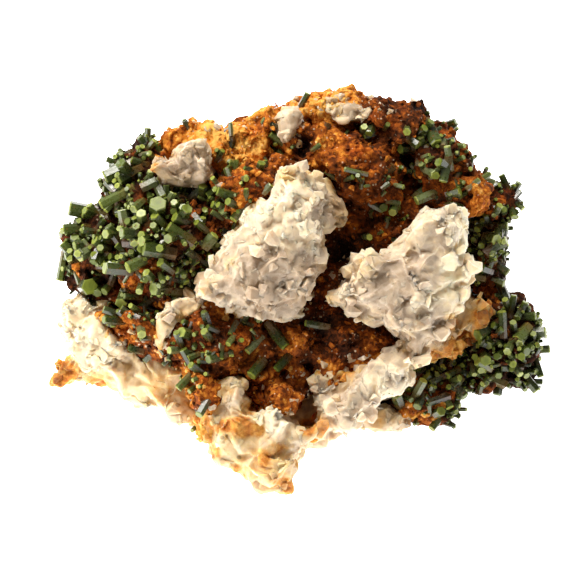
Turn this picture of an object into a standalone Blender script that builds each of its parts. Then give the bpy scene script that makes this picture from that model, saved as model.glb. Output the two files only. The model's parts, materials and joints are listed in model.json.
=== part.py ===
"""A hand specimen of pyromorphite: stubby green six-sided crystals in four druses on brown limonite and white quartz.

The rock is described as seen from the front at VIEW_TILT above the table. Places on that view are pixels of a
picture PIXEL wide each (x to the right, y down), and depths are millimetres towards the viewer from the middle
plane of the view. Every mass of rock is a closed shell of rings round an outline. The masses of one mineral are
joined, cut flat at the table, and cut clear of the mineral that they grew on.
"""

import math
import random
from collections import namedtuple

import bmesh
import bpy
from mathutils import Matrix, Vector
from mathutils.bvhtree import BVHTree

MM = 0.001

# Driving dimensions, in metres
PIXEL = 0.125 * MM
VIEW_TILT = math.radians(50)
VIEW_DISTANCE = 0.55
VIEW_MIDDLE = Vector((-1.66 * MM, -1.95 * MM, 15.4 * MM))
MIDDLE_X, MIDDLE_Y = 287.5, 287.5
GAP = 0.3 * MM
ROCK_GAP = 0.54 * MM
CRYSTAL_ROOT = 1.3 * MM
CRYSTAL_CORNERS = 1.12
ROOT_TAPER = 0.96
TABLE_SIDE = 0.1
WELD = 0.0005 * MM

# How many triangles the rough rock of each mineral, each druse mass and each crystal may take
QUARTZ_TRIANGLES = 2000
LIMONITE_TRIANGLES = 1700
DRUSE_TRIANGLES = 130
CRYSTAL_TRIANGLES = 36

RIGHT = Vector((1, 0, 0))
UP = Vector((0, math.sin(VIEW_TILT), math.cos(VIEW_TILT)))
OUT = Vector((0, -math.cos(VIEW_TILT), math.sin(VIEW_TILT)))
EYE = VIEW_MIDDLE + OUT * VIEW_DISTANCE

# Each ring of a mass: share of its depth behind (-) or before (+) the widest ring, and share of its outline
BLOCK = [(-1.0, 0.62), (0.0, 1.0), (0.62, 0.90), (1.0, 0.55)]
DOME = [(-1.0, 0.58), (0.0, 1.0), (0.58, 0.80), (1.0, 0.38)]
BOSS = [(-1.0, 0.40), (-0.45, 0.86), (0.0, 1.0), (0.58, 0.80), (1.0, 0.38)]

Mass = namedtuple("Mass", "name out front back rings outline")
Lump = namedtuple("Lump", "name centre radii")
Crystal = namedtuple("Crystal", "tip_x tip_y root_x root_y width toward")

QUARTZ = [
    Mass("centre_left", 5, 4.5, 10, BLOCK, [
        (285, 171), (301, 165), (317, 178), (328, 198), (331, 222), (323, 238), (322, 268), (318, 290),
        (302, 305), (278, 317), (248, 315), (217, 301), (197, 289), (210, 266), (229, 237), (247, 214),
        (267, 196)]),
    Mass("centre_left_flank", 2, 2, 8, BLOCK, [
        (322, 186), (336, 193), (346, 206), (344, 219), (331, 227), (316, 214)]),
    Mass("centre_right", 4, 4.5, 10, BLOCK, [
        (425, 212), (446, 205), (470, 214), (468, 240), (461, 263), (448, 290), (438, 310), (420, 325),
        (404, 345), (392, 350), (374, 336), (350, 322), (333, 306), (329, 291), (346, 281), (354, 266),
        (364, 256), (388, 253), (406, 240), (414, 226)]),
    Mass("ridge_upper", 3, 4, 10, BLOCK, [
        (452, 262), (472, 256), (471, 280), (460, 303), (447, 322), (434, 342), (415, 352), (402, 352),
        (404, 340), (420, 320), (434, 300), (445, 280)]),
    Mass("ridge_lower", 4, 3, 10, BLOCK, [
        (400, 345), (425, 342), (418, 358), (400, 372), (387, 392), (368, 412), (352, 424), (336, 428),
        (330, 420), (345, 406), (362, 388), (376, 368), (388, 352)]),
    Mass("right_shelf", -4, 3, 10, BLOCK, [
        (430, 312), (450, 300), (478, 297), (492, 312), (485, 328), (468, 344), (452, 357), (430, 362),
        (408, 370), (402, 360), (418, 342)]),
    Mass("left_wall", -5, 4, 9, BLOCK, [
        (66, 302), (86, 297), (100, 312), (120, 333), (146, 350), (172, 362), (198, 378), (212, 396),
        (205, 418), (190, 428), (165, 418), (135, 402), (108, 384), (82, 368), (68, 345), (62, 322)]),
    Mass("bottom_wedge", 2, 4, 8, BLOCK, [
        (196, 405), (222, 398), (250, 408), (290, 430), (336, 425), (326, 442), (305, 462), (296, 480),
        (284, 497), (270, 486), (246, 476), (222, 462), (206, 440)]),
    Mass("bottom_block", 6, 2.5, 6, BLOCK, [
        (264, 412), (289, 415), (297, 428), (290, 440), (272, 438), (261, 425)]),
    Mass("front_block_left", 6, 2, 6, BLOCK, [
        (214, 386), (233, 381), (249, 394), (247, 410), (233, 418), (219, 408)]),
    Mass("front_block_right", 4.5, 2, 6, BLOCK, [
        (312, 380), (333, 373), (350, 378), (347, 395), (330, 408), (315, 402)]),
    Mass("upper_left_block", 1, 3, 9, BLOCK, [
        (150, 167), (166, 164), (180, 150), (192, 143), (205, 146), (210, 158), (215, 173), (203, 186),
        (189, 188), (174, 185), (158, 183)]),
    Mass("top_block", 0, 3, 10, BLOCK, [
        (282, 110), (295, 105), (301, 120), (302, 138), (292, 145), (283, 133)]),
    Mass("top_right_block", -1, 2.5, 10, BLOCK, [
        (327, 110), (348, 102), (375, 109), (373, 119), (347, 122), (331, 119)]),
    Mass("left_foot", -9, 3, 4, BLOCK, [
        (52, 378), (58, 361), (72, 352), (90, 360), (110, 386), (98, 392), (80, 386), (62, 388)]),
    Mass("right_foot", -4, 2.5, 6, BLOCK, [
        (348, 418), (372, 408), (402, 408), (414, 422), (400, 434), (374, 431)]),
    Mass("tongue", 4, 2, 9, BLOCK, [
        (153, 326), (164, 316), (184, 300), (199, 289), (206, 297), (192, 315), (176, 329), (164, 340),
        (155, 342)]),
]

LIMONITE = [
    Mass("top_left_ridge", -2, 3, 5, DOME, [
        (158, 150), (166, 132), (186, 120), (222, 119), (238, 136), (228, 162), (205, 172), (178, 165)]),
    Mass("top_ridge_middle", -1, 3.5, 5, DOME, [
        (215, 132), (240, 122), (262, 111), (283, 101), (292, 125), (286, 150), (262, 172), (235, 180),
        (215, 165)]),
    Mass("top_ridge_peak", -3, 3.5, 5, DOME, [
        (278, 106), (300, 94), (325, 93), (354, 86), (372, 95), (374, 120), (345, 140), (315, 145),
        (288, 138)]),
    Mass("top_right_brow", -2, 4, 5, DOME, [
        (360, 100), (385, 97), (410, 103), (424, 97), (430, 118), (438, 130), (432, 150), (400, 160),
        (370, 150), (355, 125)]),
    Mass("upper_slope", 0, 4, 9, DOME, [
        (286, 132), (300, 126), (340, 125), (380, 140), (405, 165), (400, 200), (370, 215), (340, 200),
        (318, 178), (284, 160)]),
    Mass("right_brow", -2, 4, 6, DOME, [
        (425, 115), (445, 125), (462, 145), (478, 165), (488, 185), (480, 212), (455, 217), (430, 207),
        (412, 182), (408, 150)]),
    Mass("right_knob", -1, 3, 5, DOME, [
        (462, 170), (480, 172), (489, 188), (484, 208), (470, 215), (460, 200)]),
    Mass("cavity_floor", -2, 2, 10, DOME, [
        (325, 195), (370, 190), (415, 195), (430, 222), (412, 252), (370, 268), (345, 282), (318, 275),
        (315, 235)]),
    Mass("cavity_channel", -1.5, 2, 8, DOME, [
        (316, 258), (345, 258), (350, 290), (342, 322), (318, 322), (312, 290)]),
    Mass("centre_slope", 2, 3, 9, DOME, [
        (215, 175), (250, 160), (290, 155), (305, 175), (280, 198), (250, 215), (232, 238), (212, 242),
        (200, 215)]),
    Mass("front_left_terrace", 3, 3, 9, DOME, [
        (166, 334), (190, 312), (215, 297), (245, 310), (252, 340), (240, 372), (215, 388), (195, 376),
        (172, 366), (156, 350)]),
    Mass("front_middle_terrace", 1.5, 2.5, 9, DOME, [
        (235, 312), (275, 308), (312, 315), (322, 350), (316, 388), (290, 408), (253, 405), (235, 378),
        (226, 345)]),
    Mass("front_right_terrace", 0, 2.5, 9, DOME, [
        (300, 308), (335, 306), (372, 333), (392, 352), (385, 378), (360, 395), (330, 400), (305, 380),
        (296, 345)]),
    Mass("front_cube", 4, 2, 5, BLOCK, [
        (290, 338), (298, 328), (312, 330), (316, 345), (308, 356), (294, 354)]),
    Mass("front_knob", 5, 2, 5, DOME, [
        (272, 388), (285, 382), (297, 392), (296, 410), (282, 414), (270, 402)]),
    Mass("front_edge_left", 4, 2.5, 6, DOME, [
        (182, 360), (205, 368), (220, 388), (218, 410), (205, 424), (192, 405), (185, 385)]),
    Mass("yellow_knob", 3, 2, 5, DOME, [
        (196, 430), (200, 408), (216, 406), (219, 434), (209, 443), (199, 440)]),
    Mass("lower_left_bank", -1, 4, 8, DOME, [
        (98, 312), (128, 300), (155, 306), (178, 328), (182, 352), (150, 356), (120, 338)]),
]

LEFT_DRUSE = [
    Mass("upper_ground", -3, 4.5, 9, BOSS, [
        (112, 172), (126, 152), (146, 140), (162, 150), (172, 176), (178, 202), (165, 226), (140, 236),
        (118, 224), (107, 196)]),
    Mass("outer_ground", -6, 4.5, 8, BOSS, [
        (68, 228), (82, 208), (108, 202), (132, 215), (142, 240), (140, 275), (128, 312), (104, 312),
        (76, 296), (61, 266)]),
    Mass("inner_ground", 0, 4.5, 9, BOSS, [
        (130, 212), (165, 192), (205, 192), (232, 212), (222, 240), (205, 265), (186, 292), (155, 312),
        (126, 306), (116, 272), (117, 240)]),
]
COLUMN_DRUSE = [
    Mass("column_head", -7.5, 3, 6, BOSS, [
        (474, 206), (486, 188), (503, 184), (515, 192), (512, 211), (500, 226), (478, 230)]),
    Mass("column_ground", -7.5, 3, 6.5, BOSS, [
        (470, 220), (490, 210), (504, 222), (503, 244), (503, 266), (506, 283), (492, 293), (474, 288),
        (464, 262), (465, 240)]),
]
LOBE_DRUSE = [
    Mass("lobe_ground", -8, 5.5, 8, BOSS, [
        (488, 302), (508, 292), (527, 304), (538, 324), (542, 350), (537, 378), (522, 390), (497, 389),
        (476, 390), (460, 374), (470, 350), (478, 325)]),
]
TERRACE_DRUSE = [
    Mass("terrace_ground", -5.5, 3.5, 8, BOSS, [
        (378, 392), (402, 378), (432, 364), (458, 364), (467, 384), (466, 403), (446, 419), (418, 428),
        (392, 420), (374, 406)]),
]

# Boulders that fill the specimen behind what the view shows: centres and radii across, up and towards, in mm
QUARTZ_BACK = [
    Lump("core", (0, 0, -9.5), (24, 19, 7)),
    Lump("high_core", (4.5, 16.5, -8.5), (9, 6, 4)),
    Lump("back_middle", (0, 5, -13), (21, 12, 9)),
    Lump("back_left_low", (-17, 3, -14.5), (9, 8, 7)),
    Lump("back_right_low", (17, 2.5, -14), (10, 8, 7)),
    Lump("back_foot", (1, 8.5, -17.5), (12, 8, 7)),
    Lump("front_foot", (-2, -15, -7), (12, 8, 7)),
]
LIMONITE_BACK = [
    Lump("back_top_left", (-12.5, 13, -8), (8, 7, 7)),
    Lump("back_top_middle", (0, 16, -10.5), (11, 7, 7)),
    Lump("back_top_right", (14, 13.5, -8.5), (9, 8, 7)),
]

LEFT_CRYSTALS = [
    Crystal(158, 203, 157, 214, 17, 15), Crystal(134, 203, 136, 212, 10, 12),
    Crystal(141, 213, 143, 222, 10, 12), Crystal(136, 226, 140, 232, 8, 11),
    Crystal(141, 235, 147, 237, 8, 12), Crystal(127, 221, 134, 224, 7, 10),
    Crystal(104, 177, 128, 166, 13, 2), Crystal(119, 181, 136, 171, 10, 5),
    Crystal(100, 205, 128, 191, 9, 2), Crystal(69, 208, 90, 212, 14, 3),
    Crystal(89, 205, 96, 214, 8, 6), Crystal(82, 214, 101, 214, 9, 3),
    Crystal(63, 229, 84, 228, 9, 1), Crystal(62, 243, 74, 257, 9, 1),
    Crystal(74, 246, 86, 243, 9, 5), Crystal(79, 257, 90, 250, 11, 9),
    Crystal(60, 281, 64, 258, 8, 1), Crystal(143, 248, 169, 252, 14, 5),
    Crystal(127, 268, 146, 259, 11, 7), Crystal(119, 264, 113, 279, 7, 5),
    Crystal(174, 202, 176, 210, 8, 12), Crystal(183, 207, 185, 214, 8, 12),
    Crystal(168, 226, 188, 239, 10, 4), Crystal(153, 225, 157, 231, 7, 12),
    Crystal(174, 217, 184, 222, 10, 6), Crystal(153, 289, 163, 288, 13, 8),
    Crystal(158, 291, 174, 292, 12, 10), Crystal(168, 283, 184, 289, 7, 5),
    Crystal(121, 304, 124, 296, 12, 10), Crystal(136, 310, 157, 313, 6, 2),
    Crystal(103, 309, 116, 313, 7, 1), Crystal(124, 296, 135, 297, 6, 4),
    Crystal(139, 292, 141, 285, 7, 10), Crystal(148, 128, 147, 142, 7, 1),
    Crystal(139, 137, 146, 145, 7, 2), Crystal(131, 160, 142, 163, 7, 2),
    Crystal(94, 240, 104, 246, 9, 6), Crystal(108, 226, 118, 240, 9, 6),
    Crystal(101, 262, 108, 268, 9, 8), Crystal(160, 262, 168, 268, 9, 8),
    Crystal(186, 250, 194, 256, 8, 8), Crystal(196, 222, 203, 228, 7, 7),
    Crystal(212, 204, 222, 208, 7, 4), Crystal(205, 240, 212, 246, 7, 6),
    Crystal(146, 272, 152, 278, 8, 8), Crystal(176, 270, 184, 274, 8, 8),
    Crystal(88, 284, 96, 280, 8, 6), Crystal(104, 292, 110, 286, 8, 6),
]
COLUMN_CRYSTALS = [
    Crystal(497, 240, 490, 238, 12, 10), Crystal(507, 241, 496, 246, 11, 3),
    Crystal(493, 254, 488, 250, 8, 9), Crystal(508, 273, 499, 266, 8, 3),
    Crystal(492, 228, 502, 236, 7, 4), Crystal(480, 268, 486, 270, 10, 7),
    Crystal(508, 226, 498, 226, 8, 3), Crystal(486, 214, 488, 222, 8, 6),
    Crystal(481, 246, 485, 240, 7, 8), Crystal(504, 284, 494, 280, 7, 4),
    Crystal(477, 230, 481, 224, 7, 7), Crystal(500, 205, 496, 212, 7, 6),
]
LOBE_CRYSTALS = [
    Crystal(502, 311, 503, 331, 8, 4), Crystal(514, 295, 511, 311, 7, 3),
    Crystal(494, 296, 511, 299, 6, 3), Crystal(536, 316, 521, 317, 8, 4),
    Crystal(517, 341, 525, 331, 12, 9), Crystal(546, 332, 532, 333, 11, 3),
    Crystal(550, 349, 536, 350, 8, 2), Crystal(541, 377, 535, 358, 7, 3),
    Crystal(500, 367, 516, 368, 9, 5), Crystal(477, 369, 500, 381, 13, 6),
    Crystal(477, 361, 486, 366, 9, 7), Crystal(508, 384, 534, 384, 11, 2),
    Crystal(527, 376, 521, 370, 7, 7), Crystal(493, 325, 500, 328, 7, 6),
    Crystal(526, 302, 520, 314, 7, 4), Crystal(527, 352, 520, 348, 9, 9),
    Crystal(507, 352, 510, 345, 8, 10), Crystal(488, 346, 494, 342, 8, 9),
    Crystal(537, 391, 528, 380, 9, 2), Crystal(497, 395, 499, 384, 9, 2),
    Crystal(489, 312, 497, 314, 6, 4), Crystal(513, 322, 514, 330, 7, 8),
]
TERRACE_CRYSTALS = [
    Crystal(395, 399, 403, 396, 10, 6), Crystal(417, 407, 421, 399, 9, 7),
    Crystal(428, 403, 443, 398, 8, 4), Crystal(437, 370, 448, 366, 9, 5),
    Crystal(430, 383, 442, 377, 6, 4), Crystal(452, 388, 458, 382, 8, 6),
    Crystal(465, 397, 456, 388, 10, 5), Crystal(447, 376, 454, 372, 7, 6),
    Crystal(408, 391, 414, 386, 7, 6), Crystal(387, 391, 394, 388, 7, 5),
    Crystal(450, 408, 446, 400, 8, 3), Crystal(460, 378, 453, 380, 7, 6),
]
SCATTERED_CRYSTALS = [
    Crystal(437, 144, 428, 126, 13, 12), Crystal(420, 136, 422, 143, 8, 8),
    Crystal(411, 137, 413, 144, 7, 7), Crystal(400, 149, 408, 149, 9, 6),
    Crystal(447, 146, 450, 164, 7, 5), Crystal(438, 162, 446, 166, 9, 9),
    Crystal(443, 182, 448, 160, 9, 3), Crystal(416, 201, 432, 194, 9, 5),
    Crystal(374, 178, 388, 170, 9, 4), Crystal(380, 182, 384, 176, 7, 6),
    Crystal(399, 159, 409, 170, 4, 2), Crystal(344, 169, 361, 173, 5, 3),
    Crystal(369, 134, 372, 127, 8, 8), Crystal(319, 150, 326, 130, 8, 3),
    Crystal(421, 164, 424, 170, 6, 7), Crystal(259, 144, 276, 153, 9, 4),
    Crystal(262, 120, 275, 127, 7, 3), Crystal(308, 93, 303, 102, 6, 2),
    Crystal(217, 191, 239, 198, 8, 3), Crystal(233, 220, 242, 208, 8, 4),
    Crystal(286, 347, 271, 328, 10, 7), Crystal(251, 376, 260, 365, 10, 7),
    Crystal(276, 370, 288, 357, 8, 4), Crystal(247, 352, 258, 341, 7, 4),
    Crystal(230, 335, 234, 327, 6, 5), Crystal(305, 323, 323, 326, 7, 3),
    Crystal(243, 324, 247, 318, 6, 6), Crystal(181, 332, 187, 334, 10, 9),
    Crystal(183, 349, 190, 362, 8, 4), Crystal(204, 331, 208, 336, 8, 7),
    Crystal(394, 196, 402, 188, 6, 5), Crystal(431, 176, 438, 170, 7, 6),
]


def at(x, y, depth):
    """The world point seen at a pixel, at a depth in millimetres towards the viewer."""
    towards = depth * MM
    nearer = (VIEW_DISTANCE - towards) / VIEW_DISTANCE
    across = (x - MIDDLE_X) * PIXEL * nearer
    height = (MIDDLE_Y - y) * PIXEL * nearer
    return VIEW_MIDDLE + across * RIGHT + height * UP + towards * OUT


def offset_outline(points, distance):
    """The closed outline moved outwards by a distance in pixels, mitred at its corners."""
    turned = sum(a[0] * b[1] - b[0] * a[1] for a, b in zip(points, points[1:] + points[:1]))
    side = 1 if turned > 0 else -1
    moved = []
    for before, here, after in zip(points[-1:] + points[:-1], points, points[1:] + points[:1]):
        first = (Vector(here) - Vector(before)).normalized()
        second = (Vector(after) - Vector(here)).normalized()
        normal = (Vector((first.y, -first.x)) + Vector((second.y, -second.x))) * side
        if normal.length < 0.2:
            normal = Vector((first.y, -first.x)) * side
        reach = max(0.6, normal.length / 2)
        moved.append(tuple(Vector(here) + normal.normalized() * distance / reach))
    return moved


def mass_mesh(mass, grown=0.0):
    """A closed shell through the rings of a mass, made larger all round by grown metres."""
    draw = random.Random(mass.name)
    outline = offset_outline(mass.outline, grown / PIXEL) if grown else mass.outline
    centre = sum((Vector(p) for p in mass.outline), Vector((0, 0))) / len(mass.outline)
    shell = bmesh.new()
    rings = []
    for share, width in mass.rings:
        thick = mass.front if share > 0 else mass.back
        ring = []
        for plain, larger in zip(mass.outline, outline):
            spread = width if share == 0 else width * draw.uniform(0.92, 1.07)
            level = share * thick if share == 0 else share * thick + thick * draw.uniform(-0.14, 0.14)
            level += share * grown / MM
            point = centre + (Vector(plain) - centre) * spread + (Vector(larger) - Vector(plain))
            ring.append(shell.verts.new(at(point.x, point.y, mass.out + level)))
        rings.append(ring)
    for lower, upper in zip(rings, rings[1:]):
        for i in range(len(lower)):
            j = (i + 1) % len(lower)
            shell.faces.new((lower[i], lower[j], upper[j], upper[i]))
    for ring, depth in ((rings[0], -mass.back), (rings[-1], mass.front)):
        level = mass.out + depth * 1.1 + math.copysign(grown / MM, depth)
        tip = shell.verts.new(at(centre.x, centre.y, level))
        for i in range(len(ring)):
            shell.faces.new((ring[i], ring[(i + 1) % len(ring)], tip))
    return closed_mesh(shell, mass.name)


def lump_mesh(lump, grown=0.0):
    """A faceted boulder about a point of the view."""
    draw = random.Random(lump.name)
    shell = bmesh.new()
    bmesh.ops.create_icosphere(shell, subdivisions=2, radius=1.0)
    for vert in shell.verts:
        rough = draw.uniform(0.9, 1.08)
        across, height, towards = (
            (centre + axis * rough * radius) * MM + axis * grown
            for centre, radius, axis in zip(lump.centre, lump.radii, vert.co))
        vert.co = VIEW_MIDDLE + across * RIGHT + height * UP + towards * OUT
    return closed_mesh(shell, lump.name)


def closed_mesh(shell, name):
    """The shell as a mesh of triangles that face outwards."""
    bmesh.ops.triangulate(shell, faces=shell.faces)
    bmesh.ops.recalc_face_normals(shell, faces=shell.faces)
    mesh = bpy.data.meshes.new(name)
    shell.to_mesh(mesh)
    shell.free()
    return mesh


def rock_meshes(masses, lumps=(), grown=0.0):
    """One mesh for each mass and each boulder."""
    return [mass_mesh(m, grown) for m in masses] + [lump_mesh(n, grown) for n in lumps]


def surface_of(meshes):
    """The joined surface of many meshes, for finding where a line of sight meets the rock."""
    points, faces = [], []
    for mesh in meshes:
        start = len(points)
        points += [v.co.copy() for v in mesh.vertices]
        faces += [[start + i for i in p.vertices] for p in mesh.polygons]
    return BVHTree.FromPolygons(points, faces)


def prism_mesh(crystal, ground):
    """One six-sided crystal from its root in the ground to its flat tip, or None if its root misses the rock."""
    sight = (at(crystal.root_x, crystal.root_y, 0) - EYE).normalized()
    root = ground.ray_cast(EYE, sight)[0]
    if root is None:
        return None
    root_depth = (root - VIEW_MIDDLE).dot(OUT)
    tip = at(crystal.tip_x, crystal.tip_y, (root_depth + crystal.toward * PIXEL) / MM)
    return hexagon(root, tip, crystal.width * CRYSTAL_CORNERS * PIXEL)


def hexagon(root, tip, width):
    """A six-sided bar with flat ends, sunk into the rock at its root."""
    along = (tip - root).normalized()
    length = (tip - root).length + CRYSTAL_ROOT
    shell = bmesh.new()
    bmesh.ops.create_cone(
        shell, cap_ends=True, segments=6, radius1=width / 2 * ROOT_TAPER, radius2=width / 2, depth=length)
    turn = along.to_track_quat("Z", "Y").to_matrix().to_4x4()
    middle = tip - along * length / 2
    bmesh.ops.transform(shell, matrix=Matrix.Translation(middle) @ turn, verts=shell.verts)
    return closed_mesh(shell, "prism")


def boolean(obj, operation, meshes):
    """The object's mesh joined with, or cut by, every one of the meshes."""
    tools = bpy.data.collections.new("tools")
    for mesh in meshes:
        tools.objects.link(bpy.data.objects.new(mesh.name, mesh))
    modifier = obj.modifiers.new(operation, "BOOLEAN")
    modifier.operation = operation
    modifier.solver = "EXACT"
    modifier.operand_type = "COLLECTION"
    modifier.collection = tools
    solved = bpy.data.meshes.new_from_object(obj.evaluated_get(bpy.context.evaluated_depsgraph_get()))
    obj.modifiers.clear()
    obj.data = solved
    weld(obj.data)
    for tool in list(tools.objects):
        bpy.data.objects.remove(tool)
    bpy.data.collections.remove(tools)


def weld(mesh):
    """Joins the points that a cut leaves within a rounding error of each other."""
    shell = bmesh.new()
    shell.from_mesh(mesh)
    bmesh.ops.remove_doubles(shell, verts=shell.verts, dist=WELD)
    shell.to_mesh(mesh)
    shell.free()


def keep_largest_body(mesh):
    """Drops the crumbs that a cut leaves beside the main body."""
    shell = bmesh.new()
    shell.from_mesh(mesh)
    left = set(shell.faces)
    bodies = []
    while left:
        body, edge = set(), {left.pop()}
        while edge:
            body |= edge
            edge = {g for f in edge for e in f.edges for g in e.link_faces} - body
        left -= body
        bodies.append(body)
    bodies.sort(key=len)
    crumbs = [f for body in bodies[:-1] for f in body]
    bmesh.ops.delete(shell, geom=crumbs, context="FACES")
    bmesh.ops.triangulate(shell, faces=shell.faces)
    shell.to_mesh(mesh)
    shell.free()


def table_cutter():
    """Everything below the table, which gives the specimen its flat resting face."""
    shell = bmesh.new()
    bmesh.ops.create_cube(shell, size=TABLE_SIDE)
    bmesh.ops.translate(shell, verts=shell.verts, vec=(0, 0, -TABLE_SIDE / 2))
    return closed_mesh(shell, "below the table")


def simplify(obj, triangles):
    """The main body alone, with fewer and larger facets."""
    keep_largest_body(obj.data)
    modifier = obj.modifiers.new("facets", "DECIMATE")
    modifier.ratio = min(1.0, triangles / len(obj.data.polygons))
    solved = bpy.data.meshes.new_from_object(obj.evaluated_get(bpy.context.evaluated_depsgraph_get()))
    obj.modifiers.clear()
    obj.data = solved


def solid(name, rock, triangles, prisms, cutters, material):
    """One mineral body: its rock joined and cut, its crystals set in, and its foot cut flat."""
    obj = bpy.data.objects.new(name, rock[0])
    bpy.context.scene.collection.objects.link(obj)
    boolean(obj, "UNION", rock[1:])
    for masses, lumps in cutters:
        boolean(obj, "DIFFERENCE", rock_meshes(masses, lumps, ROCK_GAP))
    simplify(obj, triangles)
    if prisms:
        crystals = bpy.data.objects.new("crystals", prisms[0])
        bpy.context.scene.collection.objects.link(crystals)
        boolean(crystals, "UNION", prisms[1:])
        for masses, lumps in cutters:
            boolean(crystals, "DIFFERENCE", rock_meshes(masses, lumps, GAP))
        boolean(obj, "UNION", [crystals.data])
        bpy.data.objects.remove(crystals)
        simplify(obj, triangles + len(prisms) * CRYSTAL_TRIANGLES)
    boolean(obj, "DIFFERENCE", [table_cutter()])
    keep_largest_body(obj.data)
    obj.data.materials.clear()
    obj.data.materials.append(material)
    return obj


def mineral(name, colour, roughness):
    """A plain surface of one mineral's colour."""
    material = bpy.data.materials.new(name)
    material.use_nodes = True
    shader = material.node_tree.nodes["Principled BSDF"]
    shader.inputs["Base Color"].default_value = (*colour, 1)
    shader.inputs["Roughness"].default_value = roughness
    shader.inputs["Metallic"].default_value = 0
    return material


def main():
    for obj in list(bpy.data.objects):
        bpy.data.objects.remove(obj)
    druses = {
        "pyromorphite_left": (LEFT_DRUSE, LEFT_CRYSTALS),
        "pyromorphite_column": (COLUMN_DRUSE, COLUMN_CRYSTALS),
        "pyromorphite_lobe": (LOBE_DRUSE, LOBE_CRYSTALS),
        "pyromorphite_terrace": (TERRACE_DRUSE, TERRACE_CRYSTALS),
    }
    grounds = [mass for masses, _ in druses.values() for mass in masses]
    ground = surface_of(rock_meshes(QUARTZ + LIMONITE + grounds, QUARTZ_BACK + LIMONITE_BACK))
    white = mineral("quartz", (0.80, 0.74, 0.66), 0.5)
    brown = mineral("limonite", (0.42, 0.16, 0.04), 0.9)
    green = mineral("pyromorphite", (0.20, 0.27, 0.07), 0.35)

    solid("quartz_matrix", rock_meshes(QUARTZ, QUARTZ_BACK)[::-1], QUARTZ_TRIANGLES, [], [], white)
    quartz = (QUARTZ, QUARTZ_BACK)
    limonite = (LIMONITE, LIMONITE_BACK)
    scattered = [m for m in (prism_mesh(c, ground) for c in SCATTERED_CRYSTALS) if m]
    solid("limonite_crust", rock_meshes(*limonite), LIMONITE_TRIANGLES, scattered, [quartz], brown)
    for name, (masses, crystals) in druses.items():
        prisms = [m for m in (prism_mesh(c, ground) for c in crystals) if m]
        triangles = DRUSE_TRIANGLES * len(masses)
        solid(name, rock_meshes(masses), triangles, prisms, [quartz, limonite], green)


if __name__ == "__main__":
    main()
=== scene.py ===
"""Dresses the solids of a pyromorphite specimen: sugary quartz, earthy limonite and green six-sided crystals.

The rock masses are those of the solids. Their places are pixels of a picture, each PIXEL wide, seen from the
front at VIEW_TILT above the table, with depths in millimetres towards the viewer from the middle plane of
the view. Each mineral's masses are fused on a fine grid and roughened by Geometry Nodes, and grains and
crystals are set on that surface.
"""

import json
import math
import random
from collections import namedtuple

import bmesh
import bpy
import numpy as np
from bpy.props import FloatProperty, FloatVectorProperty, IntProperty, PointerProperty
from mathutils import Matrix, Vector, noise
from mathutils.bvhtree import BVHTree

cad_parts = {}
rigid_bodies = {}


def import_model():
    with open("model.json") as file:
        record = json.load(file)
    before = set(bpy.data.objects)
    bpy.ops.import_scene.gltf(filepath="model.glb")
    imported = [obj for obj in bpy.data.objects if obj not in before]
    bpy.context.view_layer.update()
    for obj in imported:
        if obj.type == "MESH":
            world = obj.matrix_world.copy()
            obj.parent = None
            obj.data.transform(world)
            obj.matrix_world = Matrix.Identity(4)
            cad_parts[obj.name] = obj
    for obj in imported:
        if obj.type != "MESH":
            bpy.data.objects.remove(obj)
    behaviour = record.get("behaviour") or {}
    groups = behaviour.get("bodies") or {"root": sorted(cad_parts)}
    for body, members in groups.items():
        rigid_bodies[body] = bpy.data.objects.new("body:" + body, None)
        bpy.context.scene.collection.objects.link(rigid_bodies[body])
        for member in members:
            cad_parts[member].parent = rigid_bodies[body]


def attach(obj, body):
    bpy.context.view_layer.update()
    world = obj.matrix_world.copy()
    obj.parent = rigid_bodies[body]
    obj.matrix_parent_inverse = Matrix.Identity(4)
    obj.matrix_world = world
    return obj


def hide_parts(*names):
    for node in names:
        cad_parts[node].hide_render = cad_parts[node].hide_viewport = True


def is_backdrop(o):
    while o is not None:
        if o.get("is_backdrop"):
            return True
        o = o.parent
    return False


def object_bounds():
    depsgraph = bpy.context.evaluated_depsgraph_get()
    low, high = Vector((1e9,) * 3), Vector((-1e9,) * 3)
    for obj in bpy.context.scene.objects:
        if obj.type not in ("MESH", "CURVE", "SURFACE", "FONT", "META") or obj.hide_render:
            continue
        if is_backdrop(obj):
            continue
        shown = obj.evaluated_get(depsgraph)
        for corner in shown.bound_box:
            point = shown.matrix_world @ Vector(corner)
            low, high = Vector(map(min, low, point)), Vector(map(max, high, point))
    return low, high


bl_info = {
    "name": "Pyromorphite specimen",
    "version": (1, 0, 0),
    "blender": (4, 5, 0),
    "location": "View3D > Sidebar > Specimen",
    "description": "Quartz, limonite and green crystals of a pyromorphite hand specimen",
    "category": "Object",
}

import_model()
CAD_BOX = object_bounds()

MM = 0.001
PIXEL = 0.125 * MM
VIEW_TILT = math.radians(50)
VIEW_DISTANCE = 0.55
VIEW_MIDDLE = Vector((-1.66 * MM, -1.95 * MM, 15.4 * MM))
MIDDLE_X, MIDDLE_Y = 287.5, 287.5
PICTURE_PIXELS = 575
SENSOR = 36
TABLE_HALF = 1.5

RIGHT = Vector((1, 0, 0))
UP = Vector((0, math.sin(VIEW_TILT), math.cos(VIEW_TILT)))
OUT = Vector((0, -math.cos(VIEW_TILT), math.sin(VIEW_TILT)))
EYE = VIEW_MIDDLE + OUT * VIEW_DISTANCE

# Each ring of a mass: share of its depth behind (-) or before (+) the widest ring, and share of its outline
BLOCK = [(-1.0, 0.62), (0.0, 1.0), (0.62, 0.95), (1.0, 0.74)]
DOME = [(-1.0, 0.58), (0.0, 1.0), (0.58, 0.80), (1.0, 0.38)]
BOSS = [(-1.0, 0.40), (-0.45, 0.86), (0.0, 1.0), (0.58, 0.80), (1.0, 0.38)]

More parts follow.
